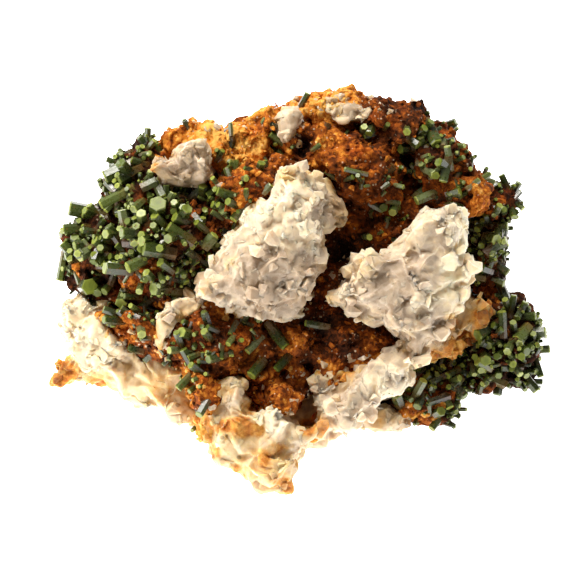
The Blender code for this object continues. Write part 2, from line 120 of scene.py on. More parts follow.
Mass = namedtuple("Mass", "name out front back rings tint outline")
Lump = namedtuple("Lump", "name centre radii tint")
Crystal = namedtuple("Crystal", "tip_x tip_y root_x root_y width toward")
Spot = namedtuple("Spot", "x y radius amount")
Field = namedtuple("Field", "x y reach_x reach_y density")
Grown = namedtuple("Grown", "root axis length width spin kind tone")
Place = namedtuple("Place", "root normal width vertex")
Grains = namedtuple("Grains", "per_area width apart sunk")


def rows(kind, numbers):
    """Plain rows of numbers as a list of one kind."""
    return [kind(*row) for row in numbers]


# A mass's tint is its stain in quartz (0 clean, 1 rusty), and its tone in limonite (0 dark brown, 1 orange)
QUARTZ = rows(Mass, [
    ("centre_left", 5, 4.5, 10, BLOCK, 0.04, [
        (285, 171), (301, 165), (317, 178), (328, 198), (331, 222), (323, 238), (322, 268), (318, 290),
        (302, 305), (278, 317), (248, 315), (217, 301), (197, 289), (210, 266), (229, 237), (247, 214),
        (267, 196)]),
    ("centre_left_flank", 2, 2, 8, BLOCK, 0.30, [
        (322, 186), (336, 193), (346, 206), (344, 219), (331, 227), (316, 214)]),
    ("centre_right", 4, 4.5, 10, BLOCK, 0.06, [
        (425, 212), (446, 205), (470, 214), (468, 240), (461, 263), (448, 290), (438, 310), (420, 325),
        (406, 338), (394, 334), (378, 325), (354, 314), (334, 304), (329, 291), (346, 281), (354, 266),
        (364, 256), (388, 253), (406, 240), (414, 226)]),
    ("ridge_upper", 3, 4, 10, BLOCK, 0.12, [
        (452, 262), (472, 256), (471, 280), (460, 303), (447, 322), (434, 342), (415, 352), (402, 352),
        (404, 340), (420, 320), (434, 300), (445, 280)]),
    ("ridge_lower", 3.6, 2.6, 10, BLOCK, 0.04, [
        (398, 343), (428, 338), (424, 356), (408, 372), (394, 390), (376, 410), (358, 426), (338, 432),
        (322, 424), (336, 408), (352, 390), (368, 368), (382, 350)]),
    ("ridge_inner", 1.8, 2.6, 8, BLOCK, 0.16, [
        (382, 354), (394, 360), (384, 380), (364, 402), (340, 421), (316, 421), (316, 410), (336, 398),
        (352, 384), (368, 368)]),
    ("right_shelf", -4, 3, 10, BLOCK, 0.24, [
        (430, 312), (450, 300), (478, 297), (492, 312), (485, 328), (468, 344), (452, 357), (430, 362),
        (408, 370), (402, 360), (418, 342)]),
    ("left_wall", -5, 4, 9, BLOCK, 0.16, [
        (66, 302), (86, 297), (100, 312), (120, 333), (146, 350), (172, 362), (198, 378), (212, 396),
        (205, 418), (190, 428), (165, 418), (135, 402), (108, 384), (82, 368), (68, 345), (62, 322)]),
    ("bottom_wedge", 2, 4, 8, BLOCK, 0.22, [
        (196, 405), (222, 398), (250, 408), (290, 430), (336, 423), (320, 437), (302, 452), (292, 472),
        (282, 503), (268, 492), (246, 478), (222, 463), (204, 442)]),
    ("bottom_block", 4.6, 2.2, 6, BLOCK, 0.0, [
        (264, 412), (289, 415), (297, 428), (290, 440), (272, 438), (261, 425)]),
    ("front_block_left", 4.4, 1.3, 6, BLOCK, 0.16, [
        (210, 388), (224, 379), (240, 383), (251, 396), (246, 411), (233, 420), (216, 410)]),
    ("front_block_right", 2.8, 1.3, 6, BLOCK, 0.14, [
        (308, 380), (324, 370), (346, 370), (362, 376), (350, 394), (332, 408), (314, 404)]),
    ("upper_left_block", 1, 3, 9, BLOCK, 0.16, [
        (150, 167), (166, 164), (180, 150), (192, 143), (205, 146), (210, 158), (215, 173), (203, 186),
        (189, 188), (174, 185), (158, 183)]),
    ("top_block", 0, 3, 10, BLOCK, 0.12, [
        (282, 110), (295, 105), (301, 120), (302, 138), (292, 145), (283, 133)]),
    ("top_right_block", -1, 2.5, 10, BLOCK, 0.14, [
        (327, 110), (348, 102), (375, 109), (373, 119), (347, 122), (331, 119)]),
    ("left_foot", -9, 3, 4, BLOCK, 0.22, [
        (52, 378), (58, 361), (72, 352), (90, 360), (110, 386), (98, 392), (80, 386), (62, 388)]),
    ("right_foot", -4, 2.5, 6, BLOCK, 0.20, [
        (348, 418), (372, 408), (402, 408), (414, 422), (400, 434), (374, 431)]),
    ("tongue", 2.3, 2.2, 9, BLOCK, 0.18, [
        (151, 328), (158, 316), (170, 312), (184, 298), (199, 286), (209, 299), (194, 316), (180, 330),
        (168, 342), (155, 344)]),
])

LIMONITE = rows(Mass, [
    ("top_left_ridge", -2, 3, 5, DOME, 0.72, [
        (158, 150), (166, 132), (186, 120), (222, 119), (238, 136), (228, 162), (205, 172), (178, 165)]),
    ("top_ridge_middle", -1, 3.5, 5, DOME, 0.66, [
        (215, 132), (240, 122), (262, 111), (283, 101), (292, 125), (286, 150), (262, 172), (235, 180),
        (215, 165)]),
    ("top_ridge_peak", -3, 3.5, 5, DOME, 0.80, [
        (278, 106), (300, 94), (325, 93), (354, 86), (372, 95), (374, 120), (345, 140), (315, 145),
        (288, 138)]),
    ("top_right_brow", -2, 4, 5, DOME, 0.34, [
        (360, 100), (385, 97), (410, 103), (424, 97), (430, 118), (438, 130), (432, 150), (400, 160),
        (370, 150), (355, 125)]),
    ("upper_slope", 0, 4, 9, DOME, 0.40, [
        (286, 132), (300, 126), (340, 125), (380, 140), (405, 165), (400, 200), (370, 215), (340, 200),
        (318, 178), (284, 160)]),
    ("right_brow", -2, 4, 6, DOME, 0.36, [
        (425, 115), (445, 125), (462, 145), (478, 165), (488, 185), (480, 212), (455, 217), (430, 207),
        (412, 182), (408, 150)]),
    ("right_knob", -1, 3, 5, DOME, 0.60, [
        (462, 170), (480, 172), (489, 188), (484, 208), (470, 215), (460, 200)]),
    ("cavity_floor", -2, 2, 10, DOME, 0.40, [
        (325, 195), (370, 190), (415, 195), (430, 222), (412, 252), (370, 268), (345, 282), (318, 275),
        (315, 235)]),
    ("cavity_channel", -0.5, 2, 8, DOME, 0.34, [
        (316, 258), (345, 258), (350, 290), (342, 322), (318, 322), (312, 290)]),
    ("centre_slope", 2, 3, 9, DOME, 0.42, [
        (215, 175), (250, 160), (290, 155), (305, 175), (280, 198), (250, 215), (232, 238), (212, 242),
        (200, 215)]),
    ("front_left_terrace", 3, 3, 9, DOME, 0.42, [
        (166, 334), (190, 312), (215, 297), (245, 310), (252, 340), (240, 372), (215, 388), (195, 376),
        (172, 366), (156, 350)]),
    ("front_middle_terrace", 1.5, 2.5, 9, DOME, 0.46, [
        (235, 312), (275, 308), (312, 315), (322, 350), (316, 388), (290, 408), (253, 405), (235, 378),
        (226, 345)]),
    ("front_right_terrace", 0.8, 3, 9, DOME, 0.40, [
        (300, 306), (335, 300), (376, 318), (402, 338), (388, 376), (360, 395), (330, 400), (305, 380),
        (296, 345)]),
    ("front_cube", 3.2, 2, 5, BLOCK, 0.62, [
        (290, 338), (298, 328), (312, 330), (316, 345), (308, 356), (294, 354)]),
    ("front_knob", 4, 2, 5, BLOCK, 0.58, [
        (272, 388), (285, 382), (297, 392), (296, 410), (282, 414), (270, 402)]),
    ("front_edge_left", 4, 2.5, 6, DOME, 0.66, [
        (182, 360), (205, 368), (220, 388), (218, 410), (205, 424), (192, 405), (185, 385)]),
    ("yellow_knob", 3, 2, 5, DOME, 1.0, [
        (196, 430), (200, 408), (216, 406), (219, 434), (209, 443), (199, 440)]),
    ("lower_left_bank", -1, 4, 8, DOME, 0.42, [
        (98, 312), (128, 300), (155, 306), (178, 328), (182, 352), (150, 356), (120, 338)]),
])

# The druse grounds' low tints darken the brown between the crystals: painted shade in the gaps, over the
# crust's own dark brown
LEFT_DRUSE = rows(Mass, [
    ("upper_ground", -3, 4.5, 9, BOSS, 0.14, [
        (112, 172), (126, 152), (146, 140), (162, 150), (172, 176), (178, 202), (165, 226), (140, 236),
        (118, 224), (107, 196)]),
    ("outer_ground", -6, 4.5, 8, BOSS, 0.10, [
        (68, 228), (82, 208), (108, 202), (132, 215), (142, 240), (140, 275), (128, 312), (104, 312),
        (76, 296), (61, 266)]),
    ("inner_ground", 0, 4.5, 9, BOSS, 0.12, [
        (130, 212), (165, 192), (205, 192), (232, 212), (222, 240), (205, 265), (186, 292), (155, 312),
        (126, 306), (116, 272), (117, 240)]),
])
COLUMN_DRUSE = rows(Mass, [
    ("column_head", -7.5, 3, 6, BOSS, 0.16, [
        (474, 206), (486, 188), (503, 184), (515, 192), (512, 211), (500, 226), (478, 230)]),
    ("column_ground", -7.5, 3, 6.5, BOSS, 0.10, [
        (470, 220), (490, 210), (504, 222), (503, 244), (503, 266), (507, 286), (497, 303), (474, 298),
        (464, 262), (465, 240)]),
])
LOBE_DRUSE = rows(Mass, [
    ("lobe_ground", -8, 5.5, 8, BOSS, 0.12, [
        (488, 302), (508, 292), (527, 304), (538, 324), (542, 350), (537, 378), (522, 390), (499, 393),
        (474, 397), (452, 378), (456, 352), (472, 325)]),
])
TERRACE_DRUSE = rows(Mass, [
    ("terrace_ground", -5.5, 3.5, 8, BOSS, 0.18, [
        (378, 392), (402, 378), (432, 364), (458, 364), (467, 384), (466, 403), (446, 419), (418, 428),
        (392, 420), (374, 406)]),
])

# Boulders that fill the specimen behind what the view shows: centres and radii across, up and towards, in mm
QUARTZ_BACK = rows(Lump, [
    ("core", (0, 0, -9.5), (24, 19, 7), 0.20),
    ("high_core", (4.5, 16.5, -8.5), (9, 6, 4), 0.20),
    ("back_middle", (0, 5, -13), (21, 12, 9), 0.12),
    ("back_left_low", (-17, 3, -14.5), (9, 8, 7), 0.25),
    ("back_right_low", (17, 2.5, -14), (10, 8, 7), 0.18),
    ("back_foot", (1, 8.5, -17.5), (12, 8, 7), 0.08),
    ("front_foot", (-2, -15, -7), (12, 8, 7), 0.08),
])
LIMONITE_BACK = rows(Lump, [
    ("back_top_left", (-12.5, 13, -8), (8, 7, 7), 0.55),
    ("back_top_middle", (0, 16, -10.5), (11, 7, 7), 0.45),
    ("back_top_right", (14, 13.5, -8.5), (9, 8, 7), 0.35),
])

LEFT_CRYSTALS = rows(Crystal, [
    (158, 203, 157, 214, 17, 15), (134, 203, 136, 212, 10, 12), (141, 213, 143, 222, 10, 12),
    (136, 226, 140, 232, 8, 11), (141, 235, 147, 237, 8, 12), (127, 221, 134, 224, 7, 10),
    (104, 177, 128, 166, 13, 2), (119, 181, 136, 171, 10, 5), (100, 205, 128, 191, 9, 2),
    (69, 208, 90, 212, 14, 3), (89, 205, 96, 214, 8, 6), (82, 214, 101, 214, 9, 3),
    (63, 229, 84, 228, 9, 1), (62, 243, 74, 257, 9, 1), (74, 246, 86, 243, 9, 5), (79, 257, 90, 250, 11, 9),
    (60, 281, 64, 258, 8, 1), (143, 248, 169, 252, 14, 5), (127, 268, 146, 259, 11, 7),
    (119, 264, 113, 279, 7, 5), (174, 202, 176, 210, 8, 12), (183, 207, 185, 214, 8, 12),
    (168, 226, 188, 239, 10, 4), (153, 225, 157, 231, 7, 12), (174, 217, 184, 222, 10, 6),
    (153, 289, 163, 288, 13, 8), (158, 291, 174, 292, 12, 10), (168, 283, 184, 289, 7, 5),
    (121, 304, 124, 296, 12, 10), (136, 310, 157, 313, 6, 2), (103, 309, 116, 313, 7, 1),
    (124, 296, 135, 297, 6, 4), (139, 292, 141, 285, 7, 10), (148, 128, 147, 142, 7, 1),
    (139, 137, 146, 145, 7, 2), (131, 160, 142, 163, 7, 2), (94, 240, 104, 246, 9, 6),
    (108, 226, 118, 240, 9, 6), (101, 262, 108, 268, 9, 8), (160, 262, 168, 268, 9, 8),
    (186, 250, 194, 256, 8, 8), (196, 222, 203, 228, 7, 7), (212, 204, 222, 208, 7, 4),
    (205, 240, 212, 246, 7, 6), (146, 272, 152, 278, 8, 8), (176, 270, 184, 274, 8, 8),
    (88, 284, 96, 280, 8, 6), (104, 292, 110, 286, 8, 6),
])
COLUMN_CRYSTALS = rows(Crystal, [
    (497, 240, 490, 238, 12, 10), (507, 241, 496, 246, 11, 3), (493, 254, 488, 250, 8, 9),
    (508, 273, 499, 266, 8, 3), (492, 228, 502, 236, 7, 4), (480, 268, 486, 270, 10, 7),
    (508, 226, 498, 226, 8, 3), (486, 214, 488, 222, 8, 6), (481, 246, 485, 240, 7, 8),
    (504, 284, 494, 280, 7, 4), (477, 230, 481, 224, 7, 7), (500, 205, 496, 212, 7, 6),
])
LOBE_CRYSTALS = rows(Crystal, [
    (502, 311, 503, 331, 8, 4), (514, 295, 511, 311, 7, 3), (494, 296, 511, 299, 6, 3),
    (536, 316, 521, 317, 8, 4), (517, 341, 525, 331, 12, 9), (546, 332, 532, 333, 11, 3),
    (550, 349, 536, 350, 8, 2), (541, 377, 535, 358, 7, 3), (500, 367, 516, 368, 9, 5),
    (477, 369, 500, 381, 13, 6), (477, 361, 486, 366, 9, 7), (508, 384, 534, 384, 11, 2),
    (527, 376, 521, 370, 7, 7), (493, 325, 500, 328, 7, 6), (526, 302, 520, 314, 7, 4),
    (527, 352, 520, 348, 9, 9), (507, 352, 510, 345, 8, 10), (488, 346, 494, 342, 8, 9),
    (537, 391, 528, 380, 9, 2), (497, 395, 499, 384, 9, 2), (489, 312, 497, 314, 6, 4),
    (513, 322, 514, 330, 7, 8),
])
TERRACE_CRYSTALS = rows(Crystal, [
    (395, 399, 403, 396, 10, 6), (417, 407, 421, 399, 9, 7), (428, 403, 443, 398, 8, 4),
    (437, 370, 448, 366, 9, 5), (430, 383, 442, 377, 6, 4), (452, 388, 458, 382, 8, 6),
    (465, 397, 456, 388, 10, 5), (447, 376, 454, 372, 7, 6), (408, 391, 414, 386, 7, 6),
    (387, 391, 394, 388, 7, 5), (450, 408, 446, 400, 8, 3), (460, 378, 453, 380, 7, 6),
])
SCATTERED_CRYSTALS = rows(Crystal, [
    (437, 144, 428, 126, 13, 12), (420, 136, 422, 143, 8, 8), (411, 137, 413, 144, 7, 7),
    (400, 149, 408, 149, 9, 6), (447, 146, 450, 164, 7, 5), (438, 162, 446, 166, 9, 9),
    (443, 182, 448, 160, 9, 3), (416, 201, 432, 194, 9, 5), (374, 178, 388, 170, 9, 4),
    (380, 182, 384, 176, 7, 6), (399, 159, 409, 170, 4, 2), (344, 169, 361, 173, 5, 3),
    (369, 134, 372, 127, 8, 8), (319, 150, 326, 130, 8, 3), (421, 164, 424, 170, 6, 7),
    (259, 144, 276, 153, 9, 4), (262, 120, 275, 127, 7, 3), (308, 93, 303, 102, 6, 2),
    (217, 191, 239, 198, 8, 3), (233, 220, 242, 208, 8, 4), (286, 347, 271, 328, 10, 7),
    (251, 376, 260, 365, 10, 7), (276, 370, 288, 357, 8, 4), (247, 352, 258, 341, 7, 4),
    (230, 335, 234, 327, 6, 5), (305, 323, 323, 326, 7, 3), (243, 324, 247, 318, 6, 6),
    (181, 332, 187, 334, 10, 9), (183, 349, 190, 362, 8, 4), (204, 331, 208, 336, 8, 7),
    (394, 196, 402, 188, 6, 5), (431, 176, 438, 170, 7, 6),
])

# Where small crystals are strewn on the brown crust, and how close they stand at the middle
FIELDS = rows(Field, [
    (430, 142, 26, 22, 0.70), (445, 185, 30, 22, 0.55), (385, 175, 24, 22, 0.22), (368, 130, 18, 12, 0.22),
    (222, 205, 30, 30, 0.90), (255, 178, 30, 16, 0.16), (196, 345, 30, 24, 0.80), (250, 330, 30, 14, 0.16),
    (395, 215, 28, 20, 0.25), (148, 318, 34, 18, 0.80), (340, 160, 40, 30, 0.04), (240, 140, 60, 20, 0.07),
    (200, 402, 10, 20, 0.40), (475, 150, 20, 30, 0.30),
])

# Where grains of quartz show through the brown crust
QUARTZ_FIELDS = rows(Field, [
    (338, 388, 26, 16, 1.0), (372, 370, 16, 12, 0.6), (232, 392, 20, 14, 0.9), (300, 305, 26, 8, 0.5),
    (352, 268, 18, 12, 0.6), (290, 120, 14, 22, 0.5), (350, 108, 26, 9, 0.7), (185, 168, 30, 20, 0.35),
    (215, 275, 12, 14, 0.5), (140, 345, 30, 10, 0.4), (190, 120, 30, 6, 0.3), (455, 405, 30, 10, 0.5),
    (470, 330, 20, 22, 0.6), (285, 415, 26, 8, 0.6), (425, 400, 14, 8, 0.3),
])

# Brown places between the crystals of the druses, where none grow
BARE = rows(Spot, [
    (207, 233, 9, 1.0), (148, 194, 7, 1.0), (133, 284, 11, 0.6), (150, 268, 7, 0.6), (152, 262, 9, 1.0),
    (141, 283, 12, 1.0), (166, 190, 9, 1.0), (208, 266, 10, 1.0), (84, 270, 12, 0.9), (112, 245, 9, 0.8),
    (178, 225, 8, 0.8), (196, 205, 9, 0.8), (120, 318, 14, 1.0), (160, 305, 10, 0.9), (218, 235, 9, 0.9),
    (492, 296, 10, 1.0), (478, 296, 14, 0.9), (507, 335, 9, 0.8), (486, 330, 8, 0.8), (410, 380, 12, 1.0),
    (436, 404, 10, 1.0), (420, 418, 14, 1.0), (396, 412, 12, 0.9), (455, 398, 8, 0.7), (486, 262, 9, 0.8),
    (504, 198, 8, 0.9), (496, 216, 7, 0.7), (160, 158, 8, 0.9),
])

# Bright places on the brown grounds of the druses
GROUND_TONES = rows(Spot, [
    (207, 233, 12, 0.45), (148, 194, 10, 0.35), (133, 282, 16, 0.45), (150, 268, 10, 0.45),
    (162, 312, 10, 0.40), (134, 320, 18, 0.30), (84, 270, 14, 0.15), (208, 266, 10, 0.40),
    (410, 382, 12, 0.40), (436, 404, 12, 0.40), (420, 418, 14, 0.35), (455, 398, 8, 0.30),
    (492, 296, 10, 0.25), (478, 296, 12, 0.25), (507, 335, 9, 0.20), (504, 198, 8, 0.25),
    (486, 262, 9, 0.15), (112, 245, 9, 0.10),
])

# Hollows in the crust and in the quartz: depth is in millimetres. The crust is also darkened by the depth of
# its hollows, as painted shade
CRUST_PITS = rows(Spot, [
    (305, 147, 9, 2.6), (311, 365, 9, 1.2), (199, 411, 6, 2.0), (345, 250, 20, 1.5),
])
QUARTZ_PITS = rows(Spot, [
    (440, 326, 6, 2.0), (222, 412, 6, 0.8),
])

# Rusty places on the quartz
QUARTZ_STAINS = rows(Spot, [
    (288, 488, 6, 1.0), (215, 452, 8, 0.55), (262, 458, 9, 0.55), (281, 449, 9, 0.40), (486, 318, 12, 1.20),
    (474, 342, 12, 1.20), (436, 362, 12, 0.70), (60, 372, 15, 1.3), (226, 424, 9, 0.90),
    (243, 428, 9, 1.20), (259, 430, 6, 1.00), (307, 428, 8, 1.30), (318, 420, 7, 0.70),
    (160, 388, 24, 0.38), (262, 468, 32, 0.22), (130, 370, 16, 0.15), (280, 478, 14, 0.30),
    (96, 389, 14, 0.60), (480, 216, 8, 0.25), (480, 250, 8, 0.25), (474, 285, 8, 0.25),
    (455, 348, 12, 0.70), (310, 172, 8, 0.30), (352, 376, 8, 0.40), (230, 388, 10, 0.40),
    (250, 408, 8, 0.50), (205, 402, 9, 0.60), (197, 425, 10, 0.50), (290, 404, 9, 0.80),
    (452, 322, 10, 0.50), (486, 300, 8, 0.80), (100, 386, 10, 0.5), (230, 262, 9, 0.35),
    (287, 174, 9, 0.60), (236, 470, 7, 0.4), (365, 268, 14, 0.25), (180, 318, 8, 0.35), (205, 283, 8, 0.35),
    (150, 170, 9, 0.6), (375, 420, 10, 0.3), (404, 348, 7, 0.4), (300, 300, 10, 0.12), (330, 300, 9, 0.3),
])

# Where the quartz is clear, and so darker; the same spots also paint shade on the lower, down-facing parts of
# the masses, and the negative spots are painted highlights that make lit edges and faces paler
QUARTZ_CLEAR_SHADE_AND_HIGHLIGHT = rows(Spot, [
    (280, 425, 13, -0.35), (236, 452, 14, -0.20), (452, 330, 20, 0.20), (268, 290, 36, 0.62),
    (300, 270, 22, 0.20), (390, 300, 44, 0.30), (400, 265, 26, 0.12), (182, 170, 34, 0.48),
    (334, 206, 14, 0.75), (214, 296, 20, 0.20), (350, 300, 20, 0.15), (292, 126, 18, 0.45),
    (351, 111, 20, 0.35), (455, 330, 26, 0.18), (330, 392, 20, 0.25), (232, 400, 16, 0.22),
    (300, 215, 40, -0.12), (90, 340, 40, -0.22), (455, 290, 20, -0.15), (150, 385, 30, -0.15),
    (250, 440, 40, -0.06), (466, 225, 12, -0.35), (463, 250, 12, -0.35), (458, 275, 12, -0.35),
    (447, 298, 12, -0.30), (432, 320, 13, -0.20), (365, 395, 22, 0.12), (290, 200, 26, -0.12),
])

# Where the quartz has flat broken faces, and few grains
QUARTZ_FLAT = rows(Spot, [
    (262, 456, 38, 1.0), (182, 168, 22, 0.85), (292, 124, 16, 0.8), (351, 111, 22, 0.8),
    (334, 206, 13, 0.9), (168, 320, 16, 0.5), (275, 425, 12, 0.5), (395, 300, 22, 0.35),
    (272, 285, 20, 0.3),
])

# Bright and dark places on the crust; the dark spots just under the quartz masses are painted shade in the
# recess below them
CRUST_TONES_AND_SHADE = rows(Spot, [
    (332, 366, 12, 0.40), (362, 366, 9, 0.45), (208, 425, 10, 0.5), (472, 200, 11, 0.12),
    (420, 105, 9, -0.3), (242, 222, 10, 0.35), (212, 268, 9, 0.5), (318, 150, 14, 0.30),
    (210, 132, 24, 0.32), (250, 162, 20, 0.30), (152, 156, 12, 0.35), (285, 150, 14, 0.15),
    (330, 132, 20, 0.12), (350, 330, 26, -0.10), (165, 190, 9, 0.4), (152, 262, 9, 0.4),
    (140, 282, 14, 0.35), (120, 322, 14, 0.25), (236, 300, 10, 0.3), (322, 320, 16, -0.2),
])


def at(x, y, depth):
    """The world point seen at a pixel, at a depth in millimetres towards the viewer."""
    towards = depth * MM
    nearer = (VIEW_DISTANCE - towards) / VIEW_DISTANCE
    across = (x - MIDDLE_X) * PIXEL * nearer
    height = (MIDDLE_Y - y) * PIXEL * nearer
    return VIEW_MIDDLE + across * RIGHT + height * UP + towards * OUT


def seen_at(points):
    """The pixels at which world points are seen, as an array of x and y."""
    offset = points - np.array(VIEW_MIDDLE)
    nearer = (VIEW_DISTANCE - offset @ np.array(OUT)) / VIEW_DISTANCE
    x = MIDDLE_X + offset @ np.array(RIGHT) / (PIXEL * nearer)
    y = MIDDLE_Y - offset @ np.array(UP) / (PIXEL * nearer)
    return np.stack([x, y], axis=1)


def join_rings(shell, lower, upper):
    """A band of faces between two rings of corners."""
    for i in range(len(lower)):
        j = (i + 1) % len(lower)
        shell.faces.new((lower[i], lower[j], upper[j], upper[i]))


def close_ring(shell, ring, tip):
    """A fan of faces from a ring of corners to a tip."""
    for i in range(len(ring)):
        shell.faces.new((ring[i], ring[(i + 1) % len(ring)], tip))


def mass_mesh(mass):
    """A closed shell through the rings of a mass."""
    draw = random.Random(mass.name)
    centre = sum((Vector(p) for p in mass.outline), Vector((0, 0))) / len(mass.outline)
    shell = bmesh.new()
    rings = []
    for share, width in mass.rings:
        thick = mass.front if share > 0 else mass.back
        ring = []
        for corner in mass.outline:
            spread = width if share == 0 else width * draw.uniform(0.92, 1.07)
            level = share * thick if share == 0 else share * thick + thick * draw.uniform(-0.14, 0.14)
            point = centre + (Vector(corner) - centre) * spread
            ring.append(shell.verts.new(at(point.x, point.y, mass.out + level)))
        rings.append(ring)
    for lower, upper in zip(rings, rings[1:]):
        join_rings(shell, lower, upper)
    for ring, depth in ((rings[0], -mass.back), (rings[-1], mass.front)):
        close_ring(shell, ring, shell.verts.new(at(centre.x, centre.y, mass.out + depth * 1.1)))
    return closed_mesh(shell, mass.name)


def lump_mesh(lump):
    """A faceted boulder about a point of the view."""
    draw = random.Random(lump.name)
    shell = bmesh.new()
    bmesh.ops.create_icosphere(shell, subdivisions=2, radius=1.0)
    for vert in shell.verts:
        rough = draw.uniform(0.9, 1.08)
        across, height, towards = (
            (centre + axis * rough * radius) * MM
            for centre, radius, axis in zip(lump.centre, lump.radii, vert.co))
        vert.co = VIEW_MIDDLE + across * RIGHT + height * UP + towards * OUT
    return closed_mesh(shell, lump.name)


def closed_mesh(shell, name):
    """The shell as a mesh of triangles that face outwards."""
    bmesh.ops.triangulate(shell, faces=shell.faces)
    return mesh_of(shell, name)


def mesh_of(shell, name):
    """The shell as a mesh of faces that face outwards."""
    bmesh.ops.recalc_face_normals(shell, faces=shell.faces)
    mesh = bpy.data.meshes.new(name)
    shell.to_mesh(mesh)
    shell.free()
    return mesh


def rock_shapes(shapes):
    return [mass_mesh(s) if isinstance(s, Mass) else lump_mesh(s) for s in shapes]


def joined(meshes):
    """Many meshes as one list of points and one of faces, with the number of the mesh of each face."""
    points, faces, owners = [], [], []
    for number, mesh in enumerate(meshes):
        start = len(points)
        points += [v.co.copy() for v in mesh.vertices]
        faces += [[start + i for i in p.vertices] for p in mesh.polygons]
        owners += [number] * len(mesh.polygons)
    return points, faces, owners


def new_object(name, data):
    """An object at the origin of the scene."""
    obj = bpy.data.objects.new(name, data)
    bpy.context.scene.collection.objects.link(obj)
    return obj


def piece(name):
    return bpy.data.objects[name]


def surface_of(meshes):
    points, faces, _ = joined(meshes)
    return BVHTree.FromPolygons(points, faces)


def evaluated_mesh(obj):
    """The object's mesh with its modifiers applied, which are then removed."""
    mesh = bpy.data.meshes.new_from_object(obj.evaluated_get(bpy.context.evaluated_depsgraph_get()))
    obj.modifiers.clear()
    obj.data = mesh
    return mesh


def fused(name, meshes, voxel):
    """An object whose surface is the outside of all the meshes, on a grid of voxels."""
    points, faces, _ = joined(meshes)
    mesh = bpy.data.meshes.new(name)
    mesh.from_pydata(points, [], faces)
    obj = new_object(name, mesh)
    remesh = obj.modifiers.new("fuse", "REMESH")
    remesh.mode = "VOXEL"
    remesh.voxel_size = voxel
    evaluated_mesh(obj)
    return obj


def coordinates(mesh):
    flat = np.empty(len(mesh.vertices) * 3)
    mesh.vertices.foreach_get("co", flat)
    return flat.reshape(-1, 3)


def blurred(mesh, values, rounds):
    """Values at the vertices, each averaged with its neighbours' for a number of rounds."""
    ends = np.empty(len(mesh.edges) * 2, dtype=np.int64)
    mesh.edges.foreach_get("vertices", ends)
    first, second = ends.reshape(-1, 2).T
    count = len(mesh.vertices)
    neighbours = np.bincount(first, minlength=count) + np.bincount(second, minlength=count)
    table = values.reshape(count, -1).copy()
    for _ in range(rounds):
        for column in table.T:
            total = np.bincount(first, weights=column[second], minlength=count)
            total += np.bincount(second, weights=column[first], minlength=count)
            column[:] = (column + total) / (1 + neighbours)
    return table.reshape(values.shape)


def wavered(points):
    """The points, moved by a few sizes of slow noise."""
    moved = points.copy()
    for width, depth in WAVERS:
        for axis in range(3):
            start = Vector((axis * 31.7, axis * 11.3, width))
            waves = [noise.noise(Vector(p) / (width * MM) + start) for p in points]
            moved[:, axis] += np.array(waves) * depth * MM
    return moved


def give(mesh, name, values):
    """Stores one number for each vertex under a name."""
    attribute = mesh.attributes.new(name, "FLOAT", "POINT")
    attribute.data.foreach_set("value", values.astype(np.float32))


def spot_at(point, spots):
    """The sum of soft round spots at the pixel of a world point."""
    return float(spotted(seen_at(np.array([point])), spots)[0])


def density_at(point, fields):
    """How close things stand at a world point, by the fields that it is seen in."""
    x, y = seen_at(np.array([point]))[0]
    return sum(
        f.density * math.exp(-((x - f.x) / f.reach_x) ** 2 - ((y - f.y) / f.reach_y) ** 2) for f in fields)


def spotted(pixels, spots):
    """The sum of soft round spots at each pixel."""
    total = np.zeros(len(pixels))
    for spot in spots:
        away = ((pixels - np.array([spot.x, spot.y])) ** 2).sum(axis=1)
        total += spot.amount * np.exp(-away / spot.radius ** 2)
    return total


def tints_of(mesh, shapes, meshes):
    """Each vertex's tint, from the mass that it lies on, blurred across their seams."""
    points, faces, owners = joined(meshes)
    tree = BVHTree.FromPolygons(points, faces)
    tints = np.array([shapes[owners[tree.find_nearest(v.co)[2]]].tint for v in mesh.vertices])
    return blurred(mesh, tints, 8)


def cut_at_table(mesh):
    """Cuts the mesh flat at the table and closes it there."""
    shell = bmesh.new()
    shell.from_mesh(mesh)
    everything = list(shell.verts) + list(shell.edges) + list(shell.faces)
    bmesh.ops.bisect_plane(
        shell, geom=everything, plane_co=(0, 0, 0), plane_no=(0, 0, 1), clear_inner=True, dist=1e-7)
    rim = [e for e in shell.edges if e.is_boundary]
    if rim:
        foot = bmesh.ops.holes_fill(shell, edges=rim, sides=0)["faces"]
        foot = bmesh.ops.triangulate(shell, faces=foot)["faces"]
        shell.normal_update()
        bmesh.ops.reverse_faces(shell, faces=[f for f in foot if f.normal.z > 0])
    bmesh.ops.triangulate(shell, faces=[f for f in shell.faces if len(f.verts) > 4])
    for face in shell.faces:
        face.smooth = True
    shell.to_mesh(mesh)
    shell.free()


def fill(tree, node, sockets):
    """Sets a node's inputs to values, or wires them to sockets."""
    for key, value in sockets.items():
        if isinstance(value, bpy.types.NodeSocket):
            tree.links.new(value, node.inputs[key])
        else:
            node.inputs[key].default_value = value


def put(tree, kind, sockets=None, **settings):
    """A node with its settings and its inputs."""
    made = tree.nodes.new(kind)
    for name, value in settings.items():
        setattr(made, name, value)
    fill(tree, made, sockets or {})
    return made


def tree_of(name, build):
    """A node group by name, built the first time that it is asked for."""
    return bpy.data.node_groups.get(name) or build()


def calc(tree, operation, *values, clamp=False):
    """One step of arithmetic on numbers."""
    made = put(tree, "ShaderNodeMath", dict(enumerate(values)), operation=operation, use_clamp=clamp)
    return made.outputs[0]


def vector(tree, operation, *values):
    """One step of arithmetic on vectors; a product of two directions or a length comes out as a number."""
    made = put(tree, "ShaderNodeVectorMath", dict(enumerate(values)), operation=operation)
    return made.outputs["Value" if operation in ("DOT_PRODUCT", "LENGTH") else "Vector"]


def scaled(tree, value, factor):
    made = put(tree, "ShaderNodeVectorMath", {0: value, "Scale": factor}, operation="SCALE")
    return made.outputs["Vector"]


